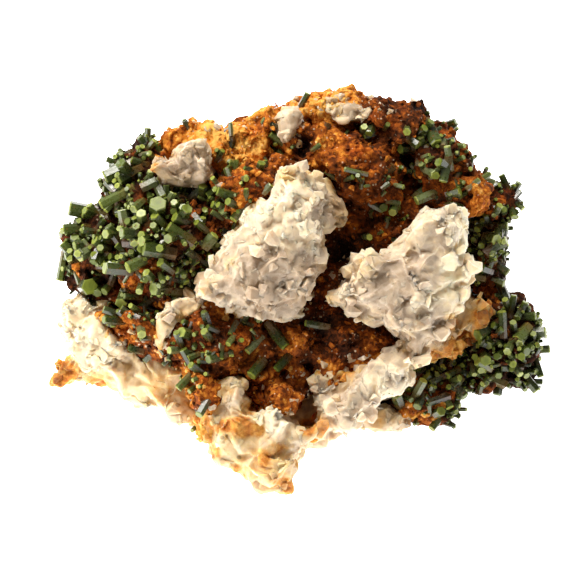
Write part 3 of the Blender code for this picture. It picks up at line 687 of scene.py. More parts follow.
def above(tree, value, start, slope):
    """How far a value is over a start, times a slope, from 0 to 1."""
    return calc(tree, "MULTIPLY", calc(tree, "SUBTRACT", value, start), slope, clamp=True)


def below(tree, value, end, slope):
    """How far a value is under an end, times a slope, from 0 to 1."""
    return calc(tree, "MULTIPLY", calc(tree, "SUBTRACT", end, value), slope, clamp=True)


def summed(tree, total, *parts):
    """A number with values added to it, each times its share."""
    for value, share in parts:
        total = calc(tree, "MULTIPLY_ADD", value, share, total)
    return total


def warped(tree, place, scale, detail, reach):
    """A place, moved about by soft noise."""
    drift = put(tree, "ShaderNodeTexNoise", {"Vector": place, "Scale": scale, "Detail": detail})
    warp = scaled(tree, vector(tree, "SUBTRACT", drift.outputs["Color"], (0.5, 0.5, 0.5)), reach)
    return vector(tree, "ADD", place, warp)


def cells_at(tree, place, size, feature="F1"):
    """Irregular cells of a width."""
    return put(tree, "ShaderNodeTexVoronoi", {"Vector": place, "Scale": calc(tree, "DIVIDE", 1.0, size)},
               feature=feature)


def tilted_cells(tree, place, size, offset):
    """A surface of flat faces that each tilt their own way: height, tone, and distance to their middles."""
    moved = vector(tree, "ADD", place, offset)
    cells = cells_at(tree, moved, size)
    from_middle = vector(tree, "SUBTRACT", moved, cells.outputs["Position"])
    tilt = vector(tree, "SUBTRACT", cells.outputs["Color"], (0.5, 0.5, 0.5))
    return vector(tree, "DOT_PRODUCT", from_middle, tilt), cells.outputs["Color"], cells.outputs["Distance"]


def new_tree(name, kind, inputs, outputs):
    """A node group, its named inputs, each a number or a kind of thing, and the node of its results."""
    tree = bpy.data.node_groups.new(name, kind)
    for label, default in inputs.items():
        number = isinstance(default, float)
        made = tree.interface.new_socket(
            name=label, in_out="INPUT", socket_type="NodeSocketFloat" if number else "NodeSocket" + default)
        if number:
            made.default_value = default
    for label in outputs:
        tree.interface.new_socket(
            name=label, in_out="OUTPUT",
            socket_type="NodeSocketGeometry" if kind == "GeometryNodeTree" else "NodeSocketFloat")
    return tree, tree.nodes.new("NodeGroupInput").outputs, tree.nodes.new("NodeGroupOutput")


def broken_quartz_tree():
    """Breaks a smooth surface into blocks, and those into round and tilted quartz grains."""
    tree, given, result = new_tree("broken quartz", "GeometryNodeTree", {
        "Geometry": "Geometry", "Block size": 3.3 * MM, "Block relief": 0.42, "Grain size": 1.3 * MM,
        "Grain tilt": 0.17, "Grain roundness": 0.06, "Chip size": 0.62 * MM, "Chip tilt": 0.07,
        "Material": "Material"}, ["Geometry"])
    place = warped(tree, tree.nodes.new("GeometryNodeInputPosition").outputs[0], 420.0, 2.0, 0.9 * MM)
    blocks, _, _ = tilted_cells(tree, place, given["Block size"], (0.011, 0.023, 0.005))
    grains, tone, away = tilted_cells(tree, place, given["Grain size"], (0.031, 0.013, 0.007))
    chips, _, _ = tilted_cells(tree, place, given["Chip size"], (0.003, 0.033, 0.017))
    dome = calc(tree, "MULTIPLY", calc(tree, "SUBTRACT", 0.5, away), given["Grain size"])
    height = summed(
        tree, 0.0, (blocks, given["Block relief"]), (grains, given["Grain tilt"]),
        (dome, given["Grain roundness"]), (chips, given["Chip tilt"]))
    stored = store(tree, given["Geometry"], "relief", calc(tree, "MULTIPLY_ADD", height, 900.0, 0.5))
    stored = store(tree, stored, "grain", put(tree, "ShaderNodeSeparateXYZ", {0: tone}).outputs[0])
    finish_rock_tree(tree, stored, height, given, result)
    return tree


def earthy_limonite_tree():
    """Gives a smooth surface the lumps, warts and pores of an earthy crust."""
    tree, given, result = new_tree("earthy limonite", "GeometryNodeTree", {
        "Geometry": "Geometry", "Lump size": 4.2 * MM, "Lump relief": 1.9 * MM, "Wart size": 1.0 * MM,
        "Wart relief": 0.55, "Pore depth": 0.9 * MM, "Material": "Material"}, ["Geometry"])
    place = tree.nodes.new("GeometryNodeInputPosition").outputs[0]
    lumps = put(tree, "ShaderNodeTexNoise", {
        "Vector": place, "Scale": calc(tree, "DIVIDE", 1.0, given["Lump size"]),
        "Detail": 5.0, "Roughness": 0.62})
    centred = calc(tree, "SUBTRACT", lumps.outputs[0], 0.5)
    height = calc(tree, "MULTIPLY", centred, given["Lump relief"])
    warts = cells_at(tree, place, given["Wart size"], "SMOOTH_F1")
    fill(tree, warts, {"Smoothness": 0.35})
    round_wart = calc(tree, "SUBTRACT", 0.45, warts.outputs["Distance"])
    wart_height = calc(tree, "MULTIPLY", round_wart, given["Wart size"])
    height = calc(tree, "MULTIPLY_ADD", wart_height, given["Wart relief"], height)
    pores = put(tree, "ShaderNodeTexNoise", {"Vector": place, "Scale": 760.0, "Detail": 1.0})
    open_pores = below(tree, pores.outputs[0], 0.40, 6.0)
    height = calc(tree, "SUBTRACT", height, calc(tree, "MULTIPLY", open_pores, given["Pore depth"]))
    stored = store(tree, given["Geometry"], "relief", calc(tree, "MULTIPLY_ADD", height, 700.0, 0.5))
    stored = store(tree, stored, "grain", warts.outputs["Distance"])
    finish_rock_tree(tree, stored, height, given, result)
    return tree


def store(tree, geometry, name, value):
    made = put(tree, "GeometryNodeStoreNamedAttribute", {"Geometry": geometry, "Name": name, "Value": value},
               data_type="FLOAT", domain="POINT")
    return made.outputs["Geometry"]


def finish_rock_tree(tree, geometry, height, given, result):
    """Moves the surface along its normal, and gives it its mineral."""
    offset = scaled(tree, tree.nodes.new("GeometryNodeInputNormal").outputs[0], height)
    moved = put(tree, "GeometryNodeSetPosition", {"Geometry": geometry, "Offset": offset})
    finish_tree(tree, moved.outputs[0], given, result)


def finish_tree(tree, geometry, given, result):
    """Makes the geometry real and gives it its material."""
    real = put(tree, "GeometryNodeRealizeInstances", {"Geometry": geometry})
    painted = put(tree, "GeometryNodeSetMaterial", {
        "Geometry": real.outputs[0], "Material": given["Material"]})
    fill(tree, result, {0: painted.outputs[0]})


def grow(obj, tree, values):
    """Runs a Geometry Nodes tree on an object with values for its named inputs, and keeps what it makes."""
    modifier = obj.modifiers.new(tree.name, "NODES")
    modifier.node_group = tree
    for item in tree.interface.items_tree:
        if item.item_type == "SOCKET" and item.in_out == "INPUT" and item.name in values:
            modifier[item.identifier] = values[item.name]
    return evaluated_mesh(obj)


def crystal_patterns():
    """Four kinds of crystal of unit width and length: plain, hollow-ended, barrel-shaped and stepped."""
    holder = bpy.data.collections.new("crystal patterns")
    kinds = [
        ("plain", [(0, 0.94), (0.95, 1.0), (1.0, 0.90)], 1.0),
        ("hollow", [(0, 0.92), (0.95, 1.0), (1.0, 0.88), (0.985, 0.62)], 0.955),
        ("barrel", [(0, 0.80), (0.45, 1.0), (0.93, 0.94), (1.0, 0.80)], 1.0),
        ("stepped", [(0, 0.96), (0.86, 1.0), (0.90, 0.74), (0.985, 0.72), (1.0, 0.64)], 1.0),
    ]
    for order, (name, rings, middle) in enumerate(kinds):
        shell = bmesh.new()
        along, rim, around = (shell.verts.layers.float.new(layer) for layer in ("along", "rim", "around"))
        loops = []
        for height, width in rings:
            loop = []
            for corner in range(SIDES):
                angle = math.tau * corner / SIDES
                vert = shell.verts.new((math.cos(angle) * width / 2, math.sin(angle) * width / 2, height))
                vert[along] = height
                vert[rim] = width
                vert[around] = corner
                loop.append(vert)
            loops.append(loop)
        for lower, upper in zip(loops, loops[1:]):
            join_rings(shell, lower, upper)
        tip = shell.verts.new((0, 0, middle))
        tip[along] = 1.0
        tip[rim] = 0.0
        close_ring(shell, loops[-1], tip)
        shell.faces.new(loops[0][::-1])
        holder.objects.link(bpy.data.objects.new(f"{order}_{name}", mesh_of(shell, name)))
    return holder


def any_way(draw):
    """A vector that points any way."""
    return Vector((draw.gauss(0, 1), draw.gauss(0, 1), draw.gauss(0, 1)))


def grain_patterns():
    """Irregular grains of unit width with flat broken faces."""
    holder = bpy.data.collections.new("grain patterns")
    draw = random.Random(31)
    for order in range(GRAIN_KINDS):
        shell = bmesh.new()
        for _ in range(GRAIN_CORNERS):
            shell.verts.new(any_way(draw).normalized() * draw.uniform(0.46, 0.56))
        bmesh.ops.convex_hull(shell, input=shell.verts)
        bmesh.ops.delete(shell, geom=[v for v in shell.verts if not v.link_faces], context="VERTS")
        name = f"grain_{order}"
        holder.objects.link(bpy.data.objects.new(name, mesh_of(shell, name)))
    return holder


def drop_patterns(holder):
    for pattern in list(holder.objects):
        bpy.data.objects.remove(pattern)
    bpy.data.collections.remove(holder)


def crystal_tree():
    """Stands a pattern on every point, turned, sized and chosen by what the point says."""
    tree, given, result = new_tree("patterns on points", "GeometryNodeTree", {
        "Geometry": "Geometry", "Patterns": "Collection", "Material": "Material"}, ["Geometry"])

    def told(name, kind):
        made = put(tree, "GeometryNodeInputNamedAttribute", {"Name": name}, data_type=kind)
        return next(s for s in made.outputs if s.enabled and s.name == "Attribute")

    patterns = put(tree, "GeometryNodeCollectionInfo", {
        "Collection": given["Patterns"], "Separate Children": True, "Reset Children": True})
    stood = put(tree, "GeometryNodeInstanceOnPoints", {
        "Points": given["Geometry"], "Instance": patterns.outputs[0], "Pick Instance": True,
        "Instance Index": told("kind", "INT"), "Rotation": told("turn", "FLOAT_VECTOR"),
        "Scale": told("size", "FLOAT_VECTOR")})
    finish_tree(tree, stood.outputs[0], given, result)
    return tree


SIDES = 6

# How deep the feet of placed and of strewn crystals are sunk in the rock, in millimetres
PLACED_SUNK = 0.9
STREWN_SUNK = 0.55

# How much wider placed crystals are made than they were read
WIDENED = 1.12

# How often each pattern stands among the placed and the strewn crystals
PLACED_KINDS = (0, 0, 0, 1, 2)
STREWN_KINDS = (0, 0, 0, 1, 2, 3)

# The least and the most length of a strewn crystal, in widths
LENGTHS = (0.9, 2.1)

# How much a strewn crystal points away from the middle of its druse, and up from the rock
OUTWARD = 0.6
UPRIGHT = 0.4
FLATTEST = 0.12

# How far a strewn crystal leans at random, and how many mean widths apart two roots stay
LEAN = 0.60
APART = 0.94

# Below this height, crystals that point down to the table are left out
LOW_CRYSTALS = 9 * MM

# A crystal whose root lies this far behind the rock's edge doesn't rise over it
BEHIND = 1.2 * MM

# The size of the strewn crystals that stand out over the rock's edge
WIDEST_OVER_EDGE = 1.2 * MM
LONGEST_OVER_EDGE = 1.5 * MM

# The crystals of a druse, from the largest: share of the mean width, and how many are tried per square mm
DRUSE_SIZES = [(1.2, 1.3), (0.85, 3.2), (0.52, 2.4)]
GROUP_WIDTH = 1.9 * MM

# The small crystals strewn on the crust
STREWN_PER_AREA = 1.6
STREWN_WIDTH = 0.66 * MM

# How much the widths of crystals and of grains spread about their mean
CRYSTAL_SPREAD = 0.38
GRAIN_SPREAD = 0.30

# Grains: how many are tried per square mm, their mean width in millimetres, how many mean widths apart they
# stay, and the least and most of their width that their middle is sunk
QUARTZ_GRAINS = [Grains(per_area, width, 0.66, (0.32, 0.47)) for per_area, width in (
    (0.5, 1.9), (0.8, 1.3), (0.5, 0.8))]
QUARTZ_BACK_GRAINS = Grains(0.35, 1.5, 0.8, (0.22, 0.38))
QUARTZ_IN_CRUST = Grains(3.0, 1.05, 0.8, (0.22, 0.38))
CRUST_CRUMBS = Grains(1.8, 0.85, 0.8, (0.10, 0.42))
GROUND_LUMPS = Grains(1.3, 1.5, 0.7, (0.05, 0.32))
WIDEST_GRAIN = 2.4 * MM
GRAIN_KINDS = 8
GRAIN_CORNERS = 13

# How rusty the quartz is where another mineral touches it, and how far that reaches
SEAM_RUST = 0.70
SEAM_WIDTH = 0.50 * MM

# How far the masses' outlines waver: for each wave its width and its depth in millimetres
WAVERS = [(3.2, 1.3), (1.3, 0.55)]


def placed_crystals(crystals, ground, draw):
    """The crystals that are read off the picture, from their roots on the rock to their tips."""
    made = []
    for crystal in crystals:
        sight = (at(crystal.root_x, crystal.root_y, 0) - EYE).normalized()
        root = ground.ray_cast(EYE, sight)[0]
        if root is None:
            continue
        root_depth = (root - VIEW_MIDDLE).dot(OUT)
        tip = at(crystal.tip_x, crystal.tip_y, (root_depth + crystal.toward * PIXEL) / MM)
        axis = (tip - root).normalized()
        sunk = root - axis * PLACED_SUNK * MM
        kind = draw.choice(PLACED_KINDS)
        made.append(above_table(Grown(
            sunk, axis, (tip - sunk).length, crystal.width * PIXEL * WIDENED, draw.uniform(0, math.tau), kind,
            draw.random())))
    return made


def inside(tree, point):
    """Whether a point is inside the closed surface of a tree."""
    near, normal, _, _ = tree.find_nearest(point)
    return near is not None and (point - near).dot(normal) < 0


def strewn(surface, settled, count, width, spread, apart, chance, draw):
    """Places on a surface, no two closer than their widths: each a root, a normal, a width and a vertex."""
    mesh = surface.data
    mesh.calc_loop_triangles()
    triangles = [t for t in mesh.loop_triangles if mesh.vertices[t.vertices[0]].co.z > 0.4 * MM]
    areas = np.cumsum([t.area for t in triangles])
    cell = 2.0 * MM
    grid = {}

    def key(point):
        return tuple(int(math.floor(c / cell)) for c in point)

    for taken in settled:
        grid.setdefault(key(taken.root), []).append(taken)
    for _ in range(int(count)):
        pick = triangles[min(int(np.searchsorted(areas, draw.random() * areas[-1])), len(triangles) - 1)]
        a, b, c = (mesh.vertices[i].co for i in pick.vertices)
        u, v = sorted((draw.random(), draw.random()))
        root = a * u + b * (v - u) + c * (1 - v)
        across = width * draw.lognormvariate(0, spread)
        if draw.random() > chance(root):
            continue
        near = [
            other for dx in (-1, 0, 1) for dy in (-1, 0, 1) for dz in (-1, 0, 1)
            for other in grid.get(tuple(k + d for k, d in zip(key(root), (dx, dy, dz))), ())]
        if any((other.root - root).length < 0.5 * (other.width + across) * apart for other in near):
            continue
        place = Place(root, pick.normal.copy(), across, pick.vertices[0])
        grid.setdefault(key(root), []).append(place)
        yield place


def whole_rock():
    grounds = [mass for masses, _ in DRUSES.values() for mass in masses]
    return surface_of(rock_shapes(QUARTZ + LIMONITE + grounds + QUARTZ_BACK + LIMONITE_BACK))


def over_edge(rock, point):
    """Whether a point is seen beside the rock, over its edge."""
    return rock.ray_cast(EYE, (point - EYE).normalized())[0] is None


def behind(rock, point):
    """Whether the rock stands well before a point as the viewer sees it."""
    away = point - EYE
    return rock.ray_cast(EYE, away.normalized(), away.length - BEHIND)[0] is not None


def grown_crystals(surface, centres, avoid, rock, settled, count, width, chance, draw):
    """Crystals strewn over a surface, leaning away from the nearest of the centres."""
    made = []
    for place in strewn(surface, settled, count, width, CRYSTAL_SPREAD, APART, chance, draw):
        lean = any_way(draw) * LEAN
        centre = min(centres, key=lambda p: (p - place.root).length)
        outward = (place.root - centre).normalized()
        axis = (outward * OUTWARD + place.normal * UPRIGHT + lean).normalized()
        if axis.dot(place.normal) < FLATTEST:
            axis = (axis + place.normal * 0.5).normalized()
        length = place.width * draw.uniform(*LENGTHS)
        if over_edge(rock, place.root + axis * length):
            if place.width > WIDEST_OVER_EDGE:
                continue
            length = min(length, LONGEST_OVER_EDGE)
        spin, kind, tone = draw.uniform(0, math.tau), draw.choice(STREWN_KINDS), draw.random()
        if any(inside(tree, place.root + place.normal * 0.35 * MM) for tree in avoid):
            continue
        if place.root.z < LOW_CRYSTALS and axis.z < -0.2:
            continue
        if behind(rock, place.root) and not behind(rock, place.root + axis * (length + BEHIND)):
            continue
        foot = place.root - axis * STREWN_SUNK * MM
        made.append(above_table(Grown(
            foot, axis, length + STREWN_SUNK * MM, place.width, spin, kind, tone)))
    return made


def above_table(crystal):
    """The crystal, lifted where its foot or its tip would reach below the table."""
    drop = crystal.width / 2 * math.sqrt(max(0.0, 1 - crystal.axis.z ** 2))
    lowest = crystal.root.z + min(0.0, crystal.axis.z * crystal.length) - drop
    if lowest > 0.05 * MM:
        return crystal
    return crystal._replace(root=crystal.root + Vector((0, 0, 0.05 * MM - lowest)))


def area_of(obj):
    """The area of an object's mesh in square millimetres."""
    return sum(p.area for p in obj.data.polygons) / MM ** 2


def grains_in(surface, layer, settled, grains, chance, avoid, draw):
    """Broken grains set in a surface, with the stain and the clearness of the rock under them; the clearness
    carries painted shade and painted highlights.
    """
    mesh = surface.data
    stain = mesh.attributes[layer].data if layer else None
    clear = mesh.attributes["clear"].data if "clear" in mesh.attributes else None
    count = area_of(surface) * grains.per_area
    made = []
    for place in strewn(
            surface, settled, count, grains.width * MM, GRAIN_SPREAD, grains.apart, chance, draw):
        across = min(place.width, WIDEST_GRAIN)
        if place.root.z < across * 0.75:
            continue
        if any(inside(tree, place.root + place.normal * 0.25 * MM) for tree in avoid):
            continue
        rust = stain[place.vertex].value if stain else draw.uniform(0.05, 0.45)
        centre = place.root - place.normal * across * draw.uniform(*grains.sunk)
        turn = any_way(draw).normalized()
        made.append((Grown(
            centre, turn, across * draw.uniform(0.8, 1.25), across, draw.uniform(0, math.tau),
            draw.randrange(GRAIN_KINDS), draw.random()), rust, clear[place.vertex].value if clear else 0.3))
    return made


def grouped(root):
    """How likely a crystal is to grow here: in groups, and not in the bare places."""
    cluster = 0.78 + 1.1 * noise.noise(root / GROUP_WIDTH)
    return cluster - 1.2 * spot_at(root, BARE)


def standing(name, crystals, patterns, tree, material, numbers):
    """One mesh of a pattern on each of these places, which carries the named numbers of each."""
    mesh = bpy.data.meshes.new(name)
    mesh.from_pydata([c.root for c in crystals], [], [])
    turns, sizes = [], []
    for crystal in crystals:
        turn = crystal.axis.to_track_quat("Z", "Y") @ Matrix.Rotation(crystal.spin, 3, "Z").to_quaternion()
        turns += tuple(turn.to_euler("XYZ"))
        sizes += (crystal.width, crystal.width, crystal.length)
    mesh.attributes.new("turn", "FLOAT_VECTOR", "POINT").data.foreach_set("vector", turns)
    mesh.attributes.new("size", "FLOAT_VECTOR", "POINT").data.foreach_set("vector", sizes)
    mesh.attributes.new("kind", "INT", "POINT").data.foreach_set("value", [c.kind for c in crystals])
    for label, values in numbers.items():
        give(mesh, label, np.array(values))
    obj = new_object(name, mesh)
    grow(obj, tree, {"Patterns": patterns, "Material": material})
    return obj


def here(tree):
    """The place that is shaded."""
    return put(tree, "ShaderNodeTexCoord").outputs["Object"]


def speckle_group():
    """Tiny scattered specks: a mask of them, and the tone of each."""
    tree, given, result = new_tree(
        "specks", "ShaderNodeTree", {"Size": 0.3 * MM, "Share": 0.2}, ["Mask", "Tone"])
    cells = cells_at(tree, here(tree), given["Size"])
    parts = put(tree, "ShaderNodeSeparateColor", {0: cells.outputs["Color"]})
    chosen = calc(tree, "LESS_THAN", parts.outputs[0], given["Share"])
    middle = below(tree, cells.outputs["Distance"], 0.55, 5.0)
    fill(tree, result, {"Mask": calc(tree, "MULTIPLY", chosen, middle), "Tone": parts.outputs[1]})
    return tree


def facet_group():
    """The height of a surface of small tilted grains, and each grain's tone."""
    tree, given, result = new_tree("facets", "ShaderNodeTree", {"Size": 0.5 * MM}, ["Height", "Tone"])
    place = warped(tree, here(tree), 900.0, 2.0, 0.4 * MM)
    height, tones, _ = tilted_cells(tree, place, given["Size"], (0.02, 0.01, 0.03))
    tone = put(tree, "ShaderNodeSeparateColor", {0: tones}).outputs[0]
    fill(tree, result, {"Height": height, "Tone": tone})
    return tree


def mixed(tree, factor, first, second, blend="MIX"):
    made = put(tree, "ShaderNodeMix", {0: factor, 6: first, 7: second}, data_type="RGBA", blend_type=blend)
    return made.outputs[2]


def ramp(tree, factor, stops):
    """A colour for each height of a value, from a list of places and colours."""
    made = put(tree, "ShaderNodeValToRGB", {0: factor})
    elements = made.color_ramp.elements
    while len(elements) > 1:
        elements.remove(elements[-1])
    elements[0].position, elements[0].color = stops[0][0], (*stops[0][1], 1)
    for position, colour in stops[1:]:
        elements.new(position).color = (*colour, 1)
    return made.outputs[0]


def attribute(tree, name):
    return put(tree, "ShaderNodeAttribute", attribute_name=name).outputs["Fac"]


def noise_at(tree, scale, detail=3.0, roughness=0.55):
    return put(tree, "ShaderNodeTexNoise", {
        "Vector": here(tree), "Scale": scale, "Detail": detail, "Roughness": roughness}).outputs[0]


def bumped(tree, height, strength, distance=1.0):
    made = put(tree, "ShaderNodeBump", {"Height": height, "Strength": strength, "Distance": distance})
    return made.outputs[0]


def blank_material(name):
    material = bpy.data.materials.new(name)
    material.use_nodes = True
    return material, material.node_tree, material.node_tree.nodes["Principled BSDF"]


def veil_group():
    """Clear grains in milky ones: how milky each place is, palest along the outlines of the grains."""
    tree, given, result = new_tree("veils", "ShaderNodeTree", {"Size": 1.6 * MM}, ["Milk"])
    place = warped(tree, here(tree), 700.0, 3.0, 1.1 * MM)
    cells = cells_at(tree, place, given["Size"])
    edges = cells_at(tree, place, given["Size"], "DISTANCE_TO_EDGE")
    tone = put(tree, "ShaderNodeSeparateColor", {0: cells.outputs["Color"]}).outputs[0]
    rim = calc(tree, "SUBTRACT", 1.0, calc(tree, "MULTIPLY", edges.outputs["Distance"], 7.0), clamp=True)
    fill(tree, result, {"Milk": summed(tree, 0.15, (tone, 0.55), (rim, 0.22))})
    return tree


SHADER_GROUPS = {"specks": speckle_group, "facets": facet_group, "veils": veil_group}


def put_group(tree, name, sockets):
    """One of the shader groups as a node."""
    return put(tree, "ShaderNodeGroup", sockets, node_tree=tree_of(name, SHADER_GROUPS[name]))


def quartz_material(look):
    """Milky sugary quartz, clear grains in it, rusty where the crust grew on it, with painted shade and
    painted highlights from the clear attribute.
    """
    material, tree, shader = blank_material("sugary quartz")
    facets = put_group(tree, "facets", {"Size": 0.5 * MM})
    coarse = put_group(tree, "veils", {"Size": 1.9 * MM})
    fine = put_group(tree, "veils", {"Size": 0.75 * MM})
    specks = put_group(tree, "specks", {"Size": 0.7 * MM, "Share": 0.02})
    # The clear attribute lowers the milk: clearer quartz, and painted shade where its spots darken lower
    # parts; its negative spots raise the milk as painted highlights
    milk = summed(
        tree, -0.36, (fine.outputs["Milk"], 0.26), (coarse.outputs["Milk"], 0.50),
        (noise_at(tree, 260.0), 0.8), (attribute(tree, "grain"), 0.18), (attribute(tree, "clear"), -1.0))
    white = ramp(tree, milk, [
        (0.0, look.quartz_deep), (0.30, look.quartz_shade), (0.62, look.quartz_body),
        (1.0, look.quartz_bright)])
    stain = summed(tree, -0.558, (noise_at(tree, 520.0, 5.0, 0.7), 0.99), (attribute(tree, "stain"), 1.0))
    rusty = ramp(tree, noise_at(tree, 900.0, 4.0, 0.7), [
        (0.3, (0.30, 0.085, 0.012)), (0.5, (0.62, 0.24, 0.035)), (0.68, (0.86, 0.50, 0.12))])
    faint = calc(tree, "MULTIPLY", stain, 2.0, clamp=True)
    warm = mixed(tree, calc(tree, "MULTIPLY", faint, 0.8), white, (0.95, 0.74, 0.36, 1), "MULTIPLY")
    strong = above(tree, stain, 0.42, 3.2)
    crusted = above(tree, stain, 1.05, 1.6)
    body = mixed(tree, crusted, mixed(tree, strong, warm, rusty), (0.16, 0.045, 0.008, 1))
    body = mixed(tree, calc(tree, "MULTIPLY", specks.outputs["Mask"], 0.6), body, (0.20, 0.11, 0.05, 1))
    rough = calc(tree, "MULTIPLY_ADD", facets.outputs["Tone"], 0.40, 0.24)
    fill(tree, shader, {
        "Base Color": body, "Normal": bumped(tree, facets.outputs["Height"], 0.22),
        "Roughness": calc(tree, "ADD", rough, calc(tree, "MULTIPLY", strong, 0.35), clamp=True),
        "Subsurface Weight": look.quartz_milkiness, "Subsurface Radius": (1.0, 0.92, 0.84),
        "Subsurface Scale": 0.8 * MM, "IOR": 1.54, "Specular IOR Level": 0.35})
    return material


def limonite_material(look):
    """Earthy limonite: dark in its pores, orange on its lumps, with pale specks that are tiny quartz grains
    and painted glints.
    """
    material, tree, shader = blank_material("earthy limonite")
    facets = put_group(tree, "facets", {"Size": 0.34 * MM})
    specks = put_group(tree, "specks", {"Size": 0.32 * MM, "Share": 0.06})
    # The tint brings the crust's own tones, and also painted shade: in its pits, in the dark spots just under
    # the quartz, and on the druse grounds between the crystals
    tone = summed(
        tree, -1.26, (noise_at(tree, 330.0, 6.0, 0.68), 1.5), (noise_at(tree, 1500.0, 3.0, 0.6), 0.5),
        (attribute(tree, "relief"), 0.30), (facets.outputs["Tone"], 0.22), (attribute(tree, "tint"), 1.0))
    earth = ramp(tree, tone, [
        (0.0, (0.015, 0.005, 0.002)), (0.20, (0.050, 0.014, 0.004)), (0.40, (0.150, 0.035, 0.006)),
        (0.58, (0.36, 0.090, 0.010)), (0.78, (0.62, 0.22, 0.025)), (1.0, (0.88, 0.48, 0.11))])
    red = above(tree, noise_at(tree, 210.0, 2.0), 0.55, 5.0)
    earth = mixed(tree, calc(tree, "MULTIPLY", red, 0.55), earth, (1.0, 0.55, 0.42, 1), "MULTIPLY")
    # Pale specks: tiny grains of quartz, their pale colour also a painted glint
    glint = calc(tree, "MULTIPLY_ADD", specks.outputs["Tone"], 0.7, 0.1)
    glint = calc(tree, "MULTIPLY", specks.outputs["Mask"], glint)
    glint = calc(tree, "MULTIPLY", glint, calc(tree, "MULTIPLY_ADD", tone, 2.0, 0.1, clamp=True))
    earth = mixed(tree, glint, earth, (0.78, 0.62, 0.42, 1))
    rough = calc(tree, "SUBTRACT", 0.88, calc(tree, "MULTIPLY", glint, 0.6))
    fill(tree, shader, {
        "Base Color": earth, "Normal": bumped(tree, facets.outputs["Height"], 0.8), "Roughness": rough,
        "Specular IOR Level": 0.12})
    return material


def pyromorphite_material(look):
    """Green crystals: dark resinous sides, lined along their length, some grey-green with a painted sheen,
    and bright lime ends.
    """
    material, tree, shader = blank_material("green pyromorphite")
    along, rim, tone = attribute(tree, "along"), attribute(tree, "rim"), attribute(tree, "tone")
    end = above(tree, along, 0.955, 60.0)
    near_end = calc(tree, "POWER", along, 3.0)
    # The palest crystals' sides run to the grey-green of a painted sheen
    side = ramp(tree, tone, [
        (0.0, look.crystal_dark), (0.5, look.crystal_side), (0.85, look.crystal_pale),
        (1.0, look.crystal_grey_sheen)])
    side = mixed(tree, calc(tree, "MULTIPLY", near_end, 0.45), side, (*look.crystal_end, 1))
    cap = ramp(tree, tone, [
        (0.0, look.crystal_end), (0.6, look.crystal_cap), (1.0, look.crystal_yellow)])
    hollow = below(tree, rim, 0.75, 0.7)
    cap = mixed(tree, hollow, cap, (*look.crystal_end, 1))
    body = mixed(tree, end, side, cap)
    lines = put(tree, "ShaderNodeTexNoise", {
        "Vector": put(tree, "ShaderNodeCombineXYZ", {
            0: calc(tree, "MULTIPLY", attribute(tree, "around"), 3.2), 1: calc(tree, "MULTIPLY", along, 0.7),
            2: calc(tree, "MULTIPLY", tone, 90.0)}).outputs[0], "Scale": 1.0, "Detail": 3.0}).outputs[0]
    patches = summed(tree, 0.15, (noise_at(tree, 1300.0, 4.0, 0.65), 0.8), (lines, 0.9))
    body = mixed(tree, 0.75, body, put(tree, "ShaderNodeCombineColor", {
        0: patches, 1: patches, 2: patches}).outputs[0], "MULTIPLY")
    specks = put_group(tree, "specks", {"Size": 0.30 * MM, "Share": 0.05})
    # Brown specks, and brown over the lower half towards the root
    rooted = below(tree, along, 0.55, 1.6)
    specks_and_darker_roots = calc(tree, "MULTIPLY", calc(tree, "ADD", specks.outputs["Mask"], rooted, clamp=True), 0.5)
    body = mixed(tree, specks_and_darker_roots, body, (0.20, 0.065, 0.012, 1))
    rough_noise = noise_at(tree, 2600.0, 2.0)
    rough = calc(tree, "MULTIPLY_ADD", rough_noise, 0.35, 0.12)
    fill(tree, shader, {
        "Base Color": body, "Normal": bumped(tree, rough_noise, 0.25, 0.1 * MM), "IOR": 1.62,
        "Roughness": calc(tree, "ADD", rough, calc(tree, "MULTIPLY", end, 0.15), clamp=True)})
    return material


def floor_material(look):
    """A white table that glows a little, so that no grey shadow lies on it."""
    material, tree, shader = blank_material("white table")
    faint = ramp(tree, noise_at(tree, 3.0, 1.0), [(0.0, (0.93, 0.93, 0.93)), (1.0, (0.97, 0.97, 0.97))])
    fill(tree, shader, {
        "Base Color": faint, "Roughness": 0.9, "Emission Color": (1, 1, 1, 1),
        "Emission Strength": look.floor_glow})
    return material


def width_property(name, description, default):
    return FloatProperty(
        name=name, description=description, default=default, min=0.0001, subtype="DISTANCE", unit="LENGTH")


class SpecimenShape(bpy.types.PropertyGroup):
    """Sizes of the rock's surface and of its crystals."""
    voxel: width_property("Grid", "Width of the grid that the rock masses are fused on", 0.00028)
    grain: width_property("Quartz grain", "Width of the grains that show on broken quartz", 0.0013)
    lump: width_property("Limonite lump", "Width of the lumps of the brown crust", 0.0042)
    crystal_width: width_property("Crystal width", "Mean width of the crystals that fill a druse", 0.00084)
    seed: IntProperty(name="Seed", description="Start of the random draws of the crystals", default=7, min=0)


def colour_property(name, description, default):
    return FloatVectorProperty(name=name, description=description, default=default, subtype="COLOR")


